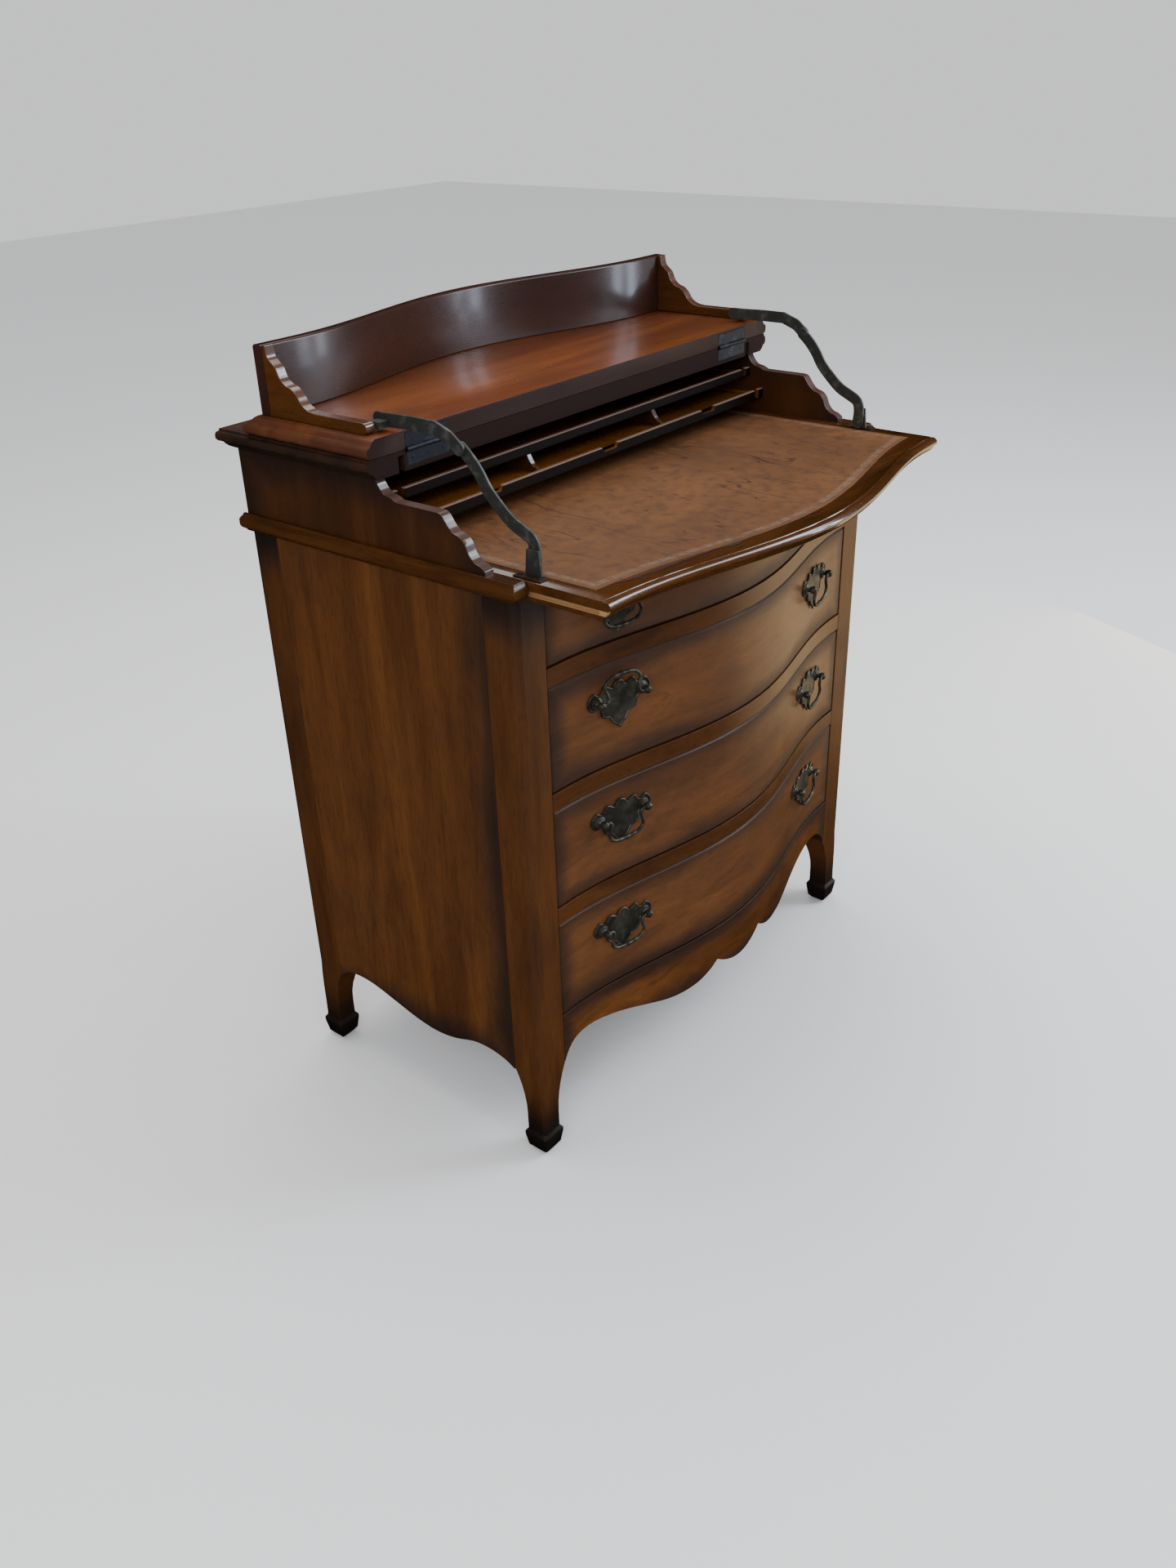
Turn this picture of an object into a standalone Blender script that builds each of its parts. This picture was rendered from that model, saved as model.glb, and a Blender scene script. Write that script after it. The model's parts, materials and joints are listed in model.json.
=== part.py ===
"""Serpentine-front chest desk with a fold-over gallery lid and a slide-out writing board.

Metres, +Z up.  Lengths along Y are first worked out from the front face of the case (the
case runs back along +Y, the writing board reaches forward along -Y).  The empty "desk"
then brings the middle of the whole object over the origin, with the feet on z = 0.
"""
import math

import bmesh
import bpy
from mathutils import Matrix, Vector

# ---- fits ------------------------------------------------------------------------------
FIT = 0.0003                 # gap between pieces that touch
PLAY = 0.0010                # gap between pieces that slide or turn past each other

# ---- case ------------------------------------------------------------------------------
CASE_HALF_WIDTH = 0.360
CASE_DEPTH = 0.402
SIDE_THICKNESS = 0.0135
POST_WIDTH = 0.044           # front stiles and rear posts, square
POST_CORNER = 0.009          # rounding of a post's outer corner
LEG_WIDTH = 0.028
LEG_TAPER_TOP = 0.123        # height where a leg has grown to the width of its post
LEG_TAPER_BOTTOM = 0.058
FOOT_HEIGHT = 0.033
FOOT_REACH = 0.0035          # how far the foot's collar stands outside the leg
BACK_THICKNESS = 0.010
SERPENTINE_DEPTH = 0.0514    # how far the middle of the front swells forward
FRONT_THICKNESS = 0.020
WAIST_HEIGHT = 0.021
WAIST_REACH = 0.008
UPPER_SIDE_FRONT = 0.0366    # front end of the low upper side
SIDE_FLAT_RISE = 0.055       # flat of the upper side, above the writing surface

# ---- drawers, from the lowest to the highest: (bottom, top) of each front ----------------
DRAWER_FRONTS = ((0.196, 0.327), (0.351, 0.478), (0.502, 0.629), (0.653, 0.733))
DRAWER_GAP = 0.001
DRAWER_SIDE_THICKNESS = 0.012
DRAWER_BOTTOM_THICKNESS = 0.008
DRAWER_BOX_CLEARANCE = 0.010
DRAWER_BOX_LENGTH = 0.352
DRAWER_BOX_SHORTFALL = 0.014     # how much lower the box is than its front
DUST_BOARD_THICKNESS = 0.010
RAIL_DEPTH = 0.045

# ---- writing board -----------------------------------------------------------------------
WRITING_HEIGHT = 0.760
WRITING_THICKNESS = 0.020
BOARD_PLAY = 0.0007              # between the board and the case side
WRITING_CORNER_REACH = 0.109     # front corners, forward of the case
WRITING_SWELL = 0.053            # the middle stands this much farther out
WRITING_REAR = 0.250
WRITING_TRAVEL = 0.095
GROOVE_DEPTH = 0.0033
GROOVE_HEIGHT = 0.005
GROOVE_DROP = 0.0125             # middle of the groove, below the writing surface
LIPPING_DEPTH = 0.014            # solid end in front of the side groove
LEATHER_BORDER_SIDE = 0.0195
LEATHER_BORDER_FRONT = 0.033
LEATHER_BORDER_REAR = 0.020
LEATHER_RECESS = 0.0015
LEATHER_PROUD = 0.0002

# ---- top board, lid and gallery ------------------------------------------------------------
HINGE_Y = 0.172
HINGE_RISE = 0.098               # hinge axis, above the writing surface
TOP_THICKNESS = 0.0217
LID_THICKNESS = 0.0197
EDGE_REACH = 0.016               # moulded edge beyond the case
LID_GAP = 0.0005                 # from the hinge axis to each board's edge
SEAM_GAP = 0.0003                # from the hinge axis to each board's face
GALLERY_HEIGHT = 0.074
FRIEZE_REACH = 0.006             # how far the closed gallery stands out from the case
GALLERY_BACK_THICKNESS = 0.014
GALLERY_SIDE_THICKNESS = 0.013
GALLERY_LOW_HEIGHT = 0.012
GALLERY_NOSE_Y = 0.187

# ---- pigeonhole fitting --------------------------------------------------------------------
TRAY_FRONT = 0.155
TRAY_RISE = 0.026                # above the writing surface
TRAY_THICKNESS = 0.007
TRAY_LIP_HEIGHT = 0.006
TRAY_LIP_THICKNESS = 0.006
SHELF_FRONT = 0.177
SHELF_RISE = 0.052
SHELF_THICKNESS = 0.006
DIVIDER_X = 0.122
DIVIDER_THICKNESS = 0.007
NOTCH_X = (-0.212, 0.0, 0.212)
NOTCH_HALF_WIDTH = 0.017

# ---- hinges --------------------------------------------------------------------------------
HINGE_INSET = 0.038              # middle of a hinge, inward from the arm beside it
HINGE_LENGTH = 0.063
LEAF_THICKNESS = 0.0018
LEAF_HEIGHT = 0.0165
KNUCKLE_RADIUS = 0.0026
KNUCKLES = 5

# ---- steel arms ----------------------------------------------------------------------------
ARM_INSET = 0.0185               # middle of an arm, inward from the case side
ARM_THICKNESS = 0.003
ARM_HALF_WIDTH = 0.0070
ARM_PIN_FORWARD = 0.085          # open pivot, forward of the hinge axis
ARM_PIN_RISE = 0.0155            # and above it
ARM_FOOT_Y = -0.003
ARM_FOOT_RISE = 0.0082           # lower pivot, above the writing surface
ARM_SLOT = 0.0055                # width of the relief cut for an arm
BRACKET_REAR = 0.198
BRACKET_KINK = (0.119, 0.890)       # Y, Z where the bracket turns down towards the open pivot
BRACKET_BEND = (0.0995, 0.8830)     # Y, Z of the bend between the kink and the pivot
BRACKET_HEIGHT = 0.889              # middle of the bar where it lies on the lid
BRACKET_PAD_LENGTH = 0.016
FOOT_PLATE_HALF = 0.018
FOOT_PLATE_REACH = 0.0155           # outer edge of the foot plate, outward of the arm
FOOT_PLATE_THICKNESS = 0.0014
EAR_HEIGHT = 0.0275                 # upright ear of the foot, above the writing surface
EAR_HALF_BOTTOM = 0.0104
EAR_HALF_TOP = 0.0078

# ---- pulls ---------------------------------------------------------------------------------
PULL_X = 0.213
PULL_BORING = 0.066
PLATE_HALF_WIDTH = 0.046
PLATE_THICKNESS = 0.002
POST_RADIUS = 0.0042
POST_REACH = 0.0085              # bail axis, forward of the plate's face
BAIL_RADIUS = 0.0022
BAIL_DROP = 0.031
PULL_RISE = (0.0215, 0.0215, 0.0215, 0.010)   # bail axis above the middle of each front
RAISED_BAIL = "bail_3_left"
RAISED_ANGLE = math.radians(189.0)

TOP_REAR = CASE_DEPTH + EDGE_REACH
WRITING_REACH = WRITING_CORNER_REACH + WRITING_SWELL
MIDDLE_Y = (TOP_REAR - WRITING_REACH) / 2
OPENING_HALF = CASE_HALF_WIDTH - POST_WIDTH
INNER_HALF = CASE_HALF_WIDTH - SIDE_THICKNESS
WRITING_HALF_WIDTH = INNER_HALF - BOARD_PLAY
WAIST_BOTTOM = WRITING_HEIGHT - WRITING_THICKNESS
GROOVE_MIDDLE = WRITING_HEIGHT - GROOVE_DROP
HINGE_Z = WRITING_HEIGHT + HINGE_RISE
GALLERY_BACK_Y = 2 * HINGE_Y + FRIEZE_REACH      # rear face of the gallery back at its ends
TRAY_TOP = WRITING_HEIGHT + TRAY_RISE
SHELF_TOP = WRITING_HEIGHT + SHELF_RISE
ARM_X = INNER_HALF - ARM_INSET
ARM_FOOT_Z = WRITING_HEIGHT + ARM_FOOT_RISE
HINGE_X = ARM_X - HINGE_INSET
BOARD_TOP = HINGE_Z - SEAM_GAP
BOARD_BOTTOM = BOARD_TOP - TOP_THICKNESS
LID_BOTTOM = HINGE_Z + SEAM_GAP
LID_TOP = LID_BOTTOM + LID_THICKNESS
BACK_INNER_Y = CASE_DEPTH - BACK_THICKNESS

COLORS = {
    "mahogany": ((0.115, 0.034, 0.012), 0.32, 0.0),
    "lid_mahogany": ((0.20, 0.045, 0.014), 0.25, 0.0),
    "drawer_wood": ((0.33, 0.20, 0.10), 0.6, 0.0),
    "leather": ((0.16, 0.068, 0.028), 0.45, 0.0),
    "arm_steel": ((0.05, 0.05, 0.052), 0.4, 1.0),
    "hinge_steel": ((0.22, 0.23, 0.25), 0.35, 1.0),
    "bronze": ((0.045, 0.036, 0.028), 0.42, 1.0),
}


# ---- building tools ------------------------------------------------------------------------
def clear_scene():
    for obj in list(bpy.data.objects):
        bpy.data.objects.remove(obj, do_unlink=True)


def material(slot):
    if slot in bpy.data.materials:
        return bpy.data.materials[slot]
    color, roughness, metallic = COLORS[slot]
    mat = bpy.data.materials.new(slot)
    mat.use_nodes = True
    shader = mat.node_tree.nodes["Principled BSDF"]
    shader.inputs["Base Color"].default_value = (*color, 1.0)
    shader.inputs["Roughness"].default_value = roughness
    shader.inputs["Metallic"].default_value = metallic
    mat.diffuse_color = (*color, 1.0)
    return mat


def empty(name, place=(0.0, 0.0, 0.0), parent=None):
    obj = bpy.data.objects.new(name, None)
    obj.location = place
    obj.parent = parent
    obj.empty_display_size = 0.03
    bpy.context.scene.collection.objects.link(obj)
    return obj


def skin(rings):
    """A closed body over a row of rings that have the same number of points."""
    bm = bmesh.new()
    loops = [[bm.verts.new(point) for point in ring] for ring in rings]
    count = len(rings[0])
    for near, far in zip(loops[:-1], loops[1:]):
        for i in range(count):
            j = (i + 1) % count
            bm.faces.new((near[i], near[j], far[j], far[i]))
    bm.faces.new(loops[0])
    bm.faces.new(reversed(loops[-1]))
    bmesh.ops.recalc_face_normals(bm, faces=bm.faces)
    return bm


def prism(outline, low, high, axis):
    """The outline, drawn in the other two axes in XYZ order, from low to high along axis."""
    order = {"x": lambda a, b, c: (c, a, b), "y": lambda a, b, c: (a, c, b), "z": lambda a, b, c: (a, b, c)}
    place = order[axis]
    return skin([[place(a, b, level) for a, b in outline] for level in (low, high)])


def block(low, high):
    outline = ((low[0], low[1]), (high[0], low[1]), (high[0], high[1]), (low[0], high[1]))
    return prism(outline, low[2], high[2], "z")


def rod(start, end, radius, sides=16):
    """A round bar from start to end."""
    start, end = Vector(start), Vector(end)
    turn = (end - start).to_track_quat("Z", "Y")
    rings = []
    for centre in (start, end):
        angles = [2 * math.pi * i / sides for i in range(sides)]
        rings.append([centre + turn @ Vector((radius * math.cos(a), radius * math.sin(a), 0)) for a in angles])
    return skin(rings)


def flow(points, steps=4):
    """A smooth curve through the points, with the given number of steps between two of them."""
    ends = [points[0], *points, points[-1]]
    curve = []
    for i in range(len(points) - 1):
        a, b, c, d = (Vector(p) for p in ends[i:i + 4])
        for k in range(steps):
            t = k / steps
            curve.append(0.5 * ((2 * b) + (c - a) * t + (2 * a - 5 * b + 4 * c - d) * t ** 2
                                + (3 * b - a - 3 * c + d) * t ** 3))
    curve.append(Vector(points[-1]))
    return [tuple(point) for point in curve]


def arc(centre, radius, start, end, steps):
    """Points on an arc, angles in degrees."""
    turns = [math.radians(start + (end - start) * i / steps) for i in range(steps + 1)]
    return [(centre[0] + radius * math.cos(a), centre[1] + radius * math.sin(a)) for a in turns]


def spread(low, high, count):
    return [low + (high - low) * i / (count - 1) for i in range(count)]


def mesh_object(name, bm, slot=None, parent=None, smooth=35):
    mesh = bpy.data.meshes.new(name)
    bm.to_mesh(mesh)
    bm.free()
    obj = bpy.data.objects.new(name, mesh)
    bpy.context.scene.collection.objects.link(obj)
    if slot:
        mesh.materials.append(material(slot))
    if smooth:
        mesh.shade_smooth()
        mesh.set_sharp_from_angle(angle=math.radians(smooth))
    if parent is not None:
        obj.parent = parent
        obj.location = -offset_to_desk(parent)
    return obj


def offset_to_desk(obj):
    """Where an empty stands, measured from the desk's own empty."""
    offset = Vector((0, 0, 0))
    while obj is not None and obj.name != "desk":
        offset += obj.location
        obj = obj.parent
    return offset


def combine(obj, bm, operation):
    """Add a body to an object, or cut it away, with a Boolean."""
    tool = mesh_object(f"{obj.name}_{operation.lower()}_{len(obj.modifiers)}", bm, smooth=0)
    tool.parent = obj
    tool.hide_render = True
    tool.display_type = "WIRE"
    step = obj.modifiers.new(tool.name, "BOOLEAN")
    step.object = tool
    step.operation = operation
    step.solver = "EXACT"
    return obj


def serpentine(x):
    """Y of the swelling front at x."""
    return -SERPENTINE_DEPTH / 2 * (1 + math.cos(math.pi * min(abs(x), OPENING_HALF) / OPENING_HALF))


def writing_front(x):
    """Y of the writing board's front edge at x."""
    return -WRITING_CORNER_REACH - WRITING_SWELL / 2 * (1 + math.cos(math.pi * x / WRITING_HALF_WIDTH))


# ---- case ------------------------------------------------------------------------------------
def leg_width(z):
    share = (z - LEG_TAPER_BOTTOM) / (LEG_TAPER_TOP - LEG_TAPER_BOTTOM)
    share = min(max(share, 0.0), 1.0)
    return LEG_WIDTH + (POST_WIDTH - LEG_WIDTH) * share ** 2


def post(name, side, front, parent):
    """A post with its tapered leg and collared foot in one length."""
    foot = ((0.0, -0.004), (0.006, 0.0005), (0.022, 0.003), (0.028, FOOT_REACH), (FOOT_HEIGHT, 0.0))
    levels = [(z, reach, LEG_WIDTH, 0.004) for z, reach in foot]
    for z in spread(LEG_TAPER_BOTTOM, LEG_TAPER_TOP, 6):
        levels.append((z, 0.0, leg_width(z), 0.004 + (POST_CORNER - 0.004) * (leg_width(z) / POST_WIDTH) ** 4))
    levels.append((WAIST_BOTTOM - FIT, 0.0, POST_WIDTH, POST_CORNER))
    rings = []
    for z, reach, width, corner in levels:
        low, high = -reach, width + reach
        outline = arc((low + corner, low + corner), corner, 180, 270, 4)
        outline += [(high, low), (high, high), (low, high)]
        ring = []
        for a, b in outline:
            y = b if front else CASE_DEPTH - b
            ring.append((side * (CASE_HALF_WIDTH - a), y, z))
        rings.append(ring)
    return mesh_object(name, skin(rings), "mahogany", parent)


def side_outline():
    """Y, Z outline of a case side, from the apron's front end round to the scalloped top."""
    front = POST_WIDTH + FIT
    rear = CASE_DEPTH - POST_WIDTH - FIT
    apron = flow(((front, 0.119), (0.062, 0.1275), (0.088, 0.1315), (0.113, 0.1290), (0.145, 0.1180),
                  (0.178, 0.1133), (0.212, 0.1170), (0.245, 0.1250), (0.290, 0.1360), (0.320, 0.1375),
                  (0.342, 0.1325), (rear, 0.119)), 3)
    top = BOARD_BOTTOM - FIT
    upper = [(rear, WAIST_BOTTOM), (CASE_DEPTH, WAIST_BOTTOM), (CASE_DEPTH, top)]
    flat = WRITING_HEIGHT + SIDE_FLAT_RISE
    rear_scallop = flow(((HINGE_Y + 0.011, top), (HINGE_Y + 0.007, flat + 0.013), (HINGE_Y, flat + 0.0055),
                         (HINGE_Y - 0.009, flat + 0.0035), (HINGE_Y - 0.017, flat)), 3)
    steps = ((0.0624, 0.0), (0.0554, -0.0015), (0.0479, -0.0110), (0.0409, -0.0175), (0.0319, -0.0205),
             (0.0254, -0.0265), (0.0209, -0.0365), (0.0139, -0.0435), (0.0064, -0.0460), (0.0, -0.0505))
    front_scallop = flow([(UPPER_SIDE_FRONT + back, flat + rise) for back, rise in steps], 3)
    return apron + upper + rear_scallop + front_scallop + [(UPPER_SIDE_FRONT, WAIST_BOTTOM), (front, WAIST_BOTTOM)]


def case_side(name, side, parent):
    low, high = sorted((side * INNER_HALF, side * CASE_HALF_WIDTH))
    obj = mesh_object(name, prism(side_outline(), low, high, "x"), "mahogany", parent)
    # the runner that the writing board's groove slides on
    runner_inner = INNER_HALF - GROOVE_DEPTH + PLAY / 2
    low, high = sorted((side * runner_inner, side * (INNER_HALF + 0.002)))
    half = GROOVE_HEIGHT / 2 - PLAY
    runner = block((low, UPPER_SIDE_FRONT + 0.004, GROOVE_MIDDLE - half),
                   (high, CASE_DEPTH - BACK_THICKNESS - 0.002, GROOVE_MIDDLE + half))
    combine(obj, runner, "UNION")
    return obj


def back_panel(parent):
    low = OPENING_HALF - FIT
    high = INNER_HALF - FIT
    top = BOARD_BOTTOM - FIT
    outline = ((-low, 0.150), (low, 0.150), (low, WAIST_BOTTOM), (high, WAIST_BOTTOM), (high, top),
               (-high, top), (-high, WAIST_BOTTOM), (-low, WAIST_BOTTOM))
    return mesh_object("back_panel", prism(outline, BACK_INNER_Y, CASE_DEPTH, "y"), "drawer_wood", parent)


def apron_edge():
    """X, Z points of the shaped lower edge, from the middle drop out to the leg."""
    drop = [(0.051 * i / 5, 0.1225 + 0.0185 * (i / 5) ** 2) for i in range(6)]
    leg = OPENING_HALF - FIT
    sweep = flow(((0.051, 0.141), (0.064, 0.1320), (0.086, 0.1230), (0.112, 0.1200), (0.140, 0.1225),
                  (0.172, 0.1310), (0.217, 0.1440), (leg - 0.0537, 0.1520), (leg - 0.0257, 0.1495),
                  (leg - 0.0097, 0.1385), (leg, 0.1230)), 3)
    half = drop + sweep[1:]
    return [(-x, z) for x, z in reversed(half[1:])] + half


def apron_front(parent):
    top = DRAWER_FRONTS[0][0] - DRAWER_GAP
    rings = []
    for x, z in apron_edge():
        near = serpentine(x)
        far = near + FRONT_THICKNESS
        rings.append([(x, near, z), (x, far, z), (x, far, top), (x, near, top)])
    return mesh_object("apron_front", skin(rings), "mahogany", parent)


def dust_board(name, bottom, top, parent, rail=True):
    """A serpentine drawer rail with the thin board behind it that the drawer above runs on."""
    rings = []
    rear = BACK_INNER_Y - FIT
    for x in spread(-OPENING_HALF + FIT, OPENING_HALF - FIT, 25):
        near = serpentine(x)
        under = top - DUST_BOARD_THICKNESS
        if rail:
            ring = [(near, bottom), (near + RAIL_DEPTH, bottom), (near + RAIL_DEPTH, under), (rear, under),
                    (rear, top), (near, top)]
        else:
            near += FRONT_THICKNESS + FIT
            ring = [(near, bottom), (rear, bottom), (rear, top), (near, top)]
        rings.append([(x, y, z) for y, z in ring])
    return mesh_object(name, skin(rings), "mahogany", parent)


def waist_moulding(name, side, parent):
    """The moulding under the upper side, with its short return to the writing board."""
    profile = ((0.0, 0.002), (0.0025, 0.0035), (0.0045, 0.0065), (0.0065, 0.0078), (0.0100, WAIST_REACH),
               (0.0145, 0.0078), (0.0170, 0.0060), (0.0185, 0.0045), (WAIST_HEIGHT, 0.0035))
    inner = WRITING_HALF_WIDTH + PLAY
    rings = []
    for rise, reach in profile:
        outline = [(inner, -reach), (CASE_HALF_WIDTH + reach, -reach), (CASE_HALF_WIDTH + reach, CASE_DEPTH + reach),
                   (CASE_HALF_WIDTH + FIT, CASE_DEPTH + reach), (CASE_HALF_WIDTH + FIT, UPPER_SIDE_FRONT - FIT),
                   (inner, UPPER_SIDE_FRONT - FIT)]
        rings.append([(side * x, y, WAIST_BOTTOM + rise) for x, y in outline])
    return mesh_object(name, skin(rings), "mahogany", parent, smooth=40)


# ---- top board, lid and gallery ----------------------------------------------------------------
EDGE_PROFILE = ((0.0, 0.0030), (0.0020, 0.0065), (0.0045, 0.0090), (0.0070, 0.0105), (0.0085, 0.0145),
                (0.0110, EDGE_REACH), (0.0150, EDGE_REACH), (0.0180, 0.0148), (0.0192, 0.0125), (1.0, 0.0120))


def edge_levels(low, high, upside_down=False):
    """Heights and reaches of the moulded board edge."""
    levels = []
    for rise, reach in EDGE_PROFILE:
        rise = min(rise, high - low)
        levels.append((high - rise if upside_down else low + rise, reach))
    return levels


def top_board(parent):
    front = HINGE_Y + LID_GAP
    rings = []
    for z, reach in edge_levels(BOARD_BOTTOM, BOARD_TOP):
        half = CASE_HALF_WIDTH + reach
        rear = CASE_DEPTH + reach
        rings.append([(-half, front, z), (half, front, z), (half, rear, z), (-half, rear, z)])
    obj = mesh_object("top_board", skin(rings), "mahogany", parent, smooth=50)
    for side in (-1, 1):
        combine(obj, arm_relief(side), "DIFFERENCE")
        combine(obj, leaf_recess(side, BOARD_TOP, -1), "DIFFERENCE")
    return obj


def arm_relief(side):
    """The pocket in the board's underside that a bracket's end lies in when the lid is closed."""
    front = HINGE_Y + LID_GAP - 0.002
    rear = HINGE_Y + ARM_PIN_FORWARD + 0.012
    low, high = sorted((side * (ARM_X - ARM_SLOT / 2), max(bracket_plane(side), key=abs) + side * PLAY))
    return block((low, front, BOARD_BOTTOM - 0.002), (high, rear, BOARD_TOP - 0.0045))


def leaf_recess(side, face, direction):
    """The mortise for a hinge leaf and half of its knuckles, in a board's front edge."""
    front = HINGE_Y + LID_GAP
    half = HINGE_LENGTH / 2 + FIT
    deep = front + LEAF_THICKNESS + FIT
    far = face + direction * (LEAF_HEIGHT + FIT)
    knuckle = KNUCKLE_RADIUS + FIT
    outline = [(front - 0.002, far), (deep, far), (deep, HINGE_Z + direction * knuckle),
               (HINGE_Y + knuckle + 0.0004, HINGE_Z + direction * knuckle),
               (HINGE_Y + knuckle + 0.0004, face - direction * 0.002), (front - 0.002, face - direction * 0.002)]
    if direction > 0:
        outline.reverse()
    return prism(outline, side * HINGE_X - half, side * HINGE_X + half, "x")


def lid_board(parent):
    front = HINGE_Y + LID_GAP
    stations = spread(-OPENING_HALF, OPENING_HALF, 25)
    rings = []
    for z, reach in edge_levels(LID_BOTTOM, LID_TOP, upside_down=True):
        half = CASE_HALF_WIDTH + reach
        ring = [(half, front, z), (-half, front, z), (-half, GALLERY_BACK_Y + reach, z)]
        ring += [(x, GALLERY_BACK_Y + reach - serpentine(x), z) for x in stations]
        ring += [(half, GALLERY_BACK_Y + reach, z)]
        rings.append(ring)
    obj = mesh_object("lid_board", skin(rings), "lid_mahogany", parent, smooth=50)
    for side in (-1, 1):
        combine(obj, leaf_recess(side, LID_BOTTOM, 1), "DIFFERENCE")
    return obj


def gallery_back(parent):
    low = LID_TOP + FIT
    high = LID_TOP + GALLERY_HEIGHT
    stations = [-CASE_HALF_WIDTH] + spread(-OPENING_HALF, OPENING_HALF, 29) + [CASE_HALF_WIDTH]
    rings = []
    for x in stations:
        far = GALLERY_BACK_Y - serpentine(x)
        near = far - GALLERY_BACK_THICKNESS
        ease = 0.002
        rings.append([(x, near, low), (x, far, low), (x, far, high - ease), (x, far - ease, high),
                      (x, near + ease, high), (x, near, high - ease)])
    return mesh_object("gallery_back", skin(rings), "mahogany", parent)


def gallery_side(name, side, parent):
    """A low side that rises in scallops to the gallery back."""
    low = LID_TOP + FIT
    ledge = LID_TOP + GALLERY_LOW_HEIGHT
    top = LID_TOP + GALLERY_HEIGHT
    rear = GALLERY_BACK_Y - GALLERY_BACK_THICKNESS - FIT
    nose = GALLERY_LOW_HEIGHT / 2
    outline = [(rear, low)]
    outline += [(y, z) for y, z in arc((GALLERY_NOSE_Y + nose, low + nose), nose, 270, 90, 8)]
    outline += flow(((0.262, ledge), (0.2730, ledge + 0.0015), (0.2830, ledge + 0.0065), (0.2895, ledge + 0.0150),
                     (0.2970, ledge + 0.0215), (0.3060, ledge + 0.0245), (0.3130, ledge + 0.0305),
                     (0.3175, ledge + 0.0400), (0.3235, ledge + 0.0455), (0.3290, ledge + 0.0510),
                     (0.3310, top)), 3)
    outline += [(rear, top)]
    low_x, high_x = sorted((side * (CASE_HALF_WIDTH - GALLERY_SIDE_THICKNESS), side * CASE_HALF_WIDTH))
    return mesh_object(name, prism(outline, low_x, high_x, "x"), "mahogany", parent)


# ---- hinges ------------------------------------------------------------------------------------
def hinge_leaf(name, side, direction, parent):
    """A leaf let into a board's front edge.  direction is -1 below the axis and 1 above it."""
    front = HINGE_Y + LID_GAP
    left = side * HINGE_X - HINGE_LENGTH / 2
    right = side * HINGE_X + HINGE_LENGTH / 2
    plate_edge = HINGE_Z + direction * (KNUCKLE_RADIUS + FIT)
    low, high = sorted((plate_edge, HINGE_Z + direction * (SEAM_GAP + LEAF_HEIGHT)))
    obj = mesh_object(name, block((left, front, low), (right, front + LEAF_THICKNESS, high)), "hinge_steel", parent)
    pitch = HINGE_LENGTH / KNUCKLES
    first = 0 if direction < 0 else 1
    for i in range(first, KNUCKLES, 2):
        start = left + i * pitch + FIT / 2
        end = start + pitch - FIT
        combine(obj, rod((start, HINGE_Y, HINGE_Z), (end, HINGE_Y, HINGE_Z), KNUCKLE_RADIUS, 14), "UNION")
        web_low, web_high = sorted((HINGE_Z + direction * 0.0005, plate_edge + direction * 0.001))
        web = block((start + 0.0002, HINGE_Y + 0.0006, web_low), (end - 0.0002, front + 0.0014, web_high))
        combine(obj, web, "UNION")
    return obj


# ---- pigeonhole fitting ------------------------------------------------------------------------
def lipped_shelf(name, front, top, thickness, notches, parent):
    """A shelf with an upstand along its front, finger notches in it and slots for the arms."""
    lip_top = top + TRAY_LIP_HEIGHT
    half = INNER_HALF - FIT
    rear = BACK_INNER_Y - FIT
    section = ((front, top - thickness), (rear, top - thickness), (rear, top), (front + TRAY_LIP_THICKNESS, top),
               (front + TRAY_LIP_THICKNESS, lip_top), (front, lip_top))
    obj = mesh_object(name, prism(section, -half, half, "x"), "mahogany", parent)
    for x in notches:
        shape = ((x - NOTCH_HALF_WIDTH, lip_top + 0.001), (x - NOTCH_HALF_WIDTH + 0.005, top + 0.0005),
                 (x + NOTCH_HALF_WIDTH - 0.005, top + 0.0005), (x + NOTCH_HALF_WIDTH, lip_top + 0.001))
        combine(obj, prism(shape, front - 0.002, front + TRAY_LIP_THICKNESS + 0.002, "y"), "DIFFERENCE")
    for side in (-1, 1):
        low, high = sorted((side * (ARM_X - ARM_SLOT / 2), max(bracket_plane(side), key=abs) + side * PLAY))
        slot = block((low, front - 0.002, top - thickness - 0.002), (high, HINGE_Y + 0.100, lip_top + 0.002))
        combine(obj, slot, "DIFFERENCE")
    return obj


def divider(name, x, parent):
    """An upright between the two shelves, with an ogee front edge."""
    low = TRAY_TOP + FIT
    high = SHELF_TOP - SHELF_THICKNESS - FIT
    front = TRAY_FRONT + TRAY_LIP_THICKNESS + FIT
    back = SHELF_FRONT + 0.004
    edge = flow(((front, low), (front + 0.004, low + 0.004), (front + 0.010, low + 0.0065),
                 (front + 0.015, low + 0.011), (back, high)), 3)
    outline = edge + [(BACK_INNER_Y - FIT, high), (BACK_INNER_Y - FIT, low)]
    return mesh_object(name, prism(outline, x - DIVIDER_THICKNESS / 2, x + DIVIDER_THICKNESS / 2, "x"),
                       "mahogany", parent)


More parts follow.
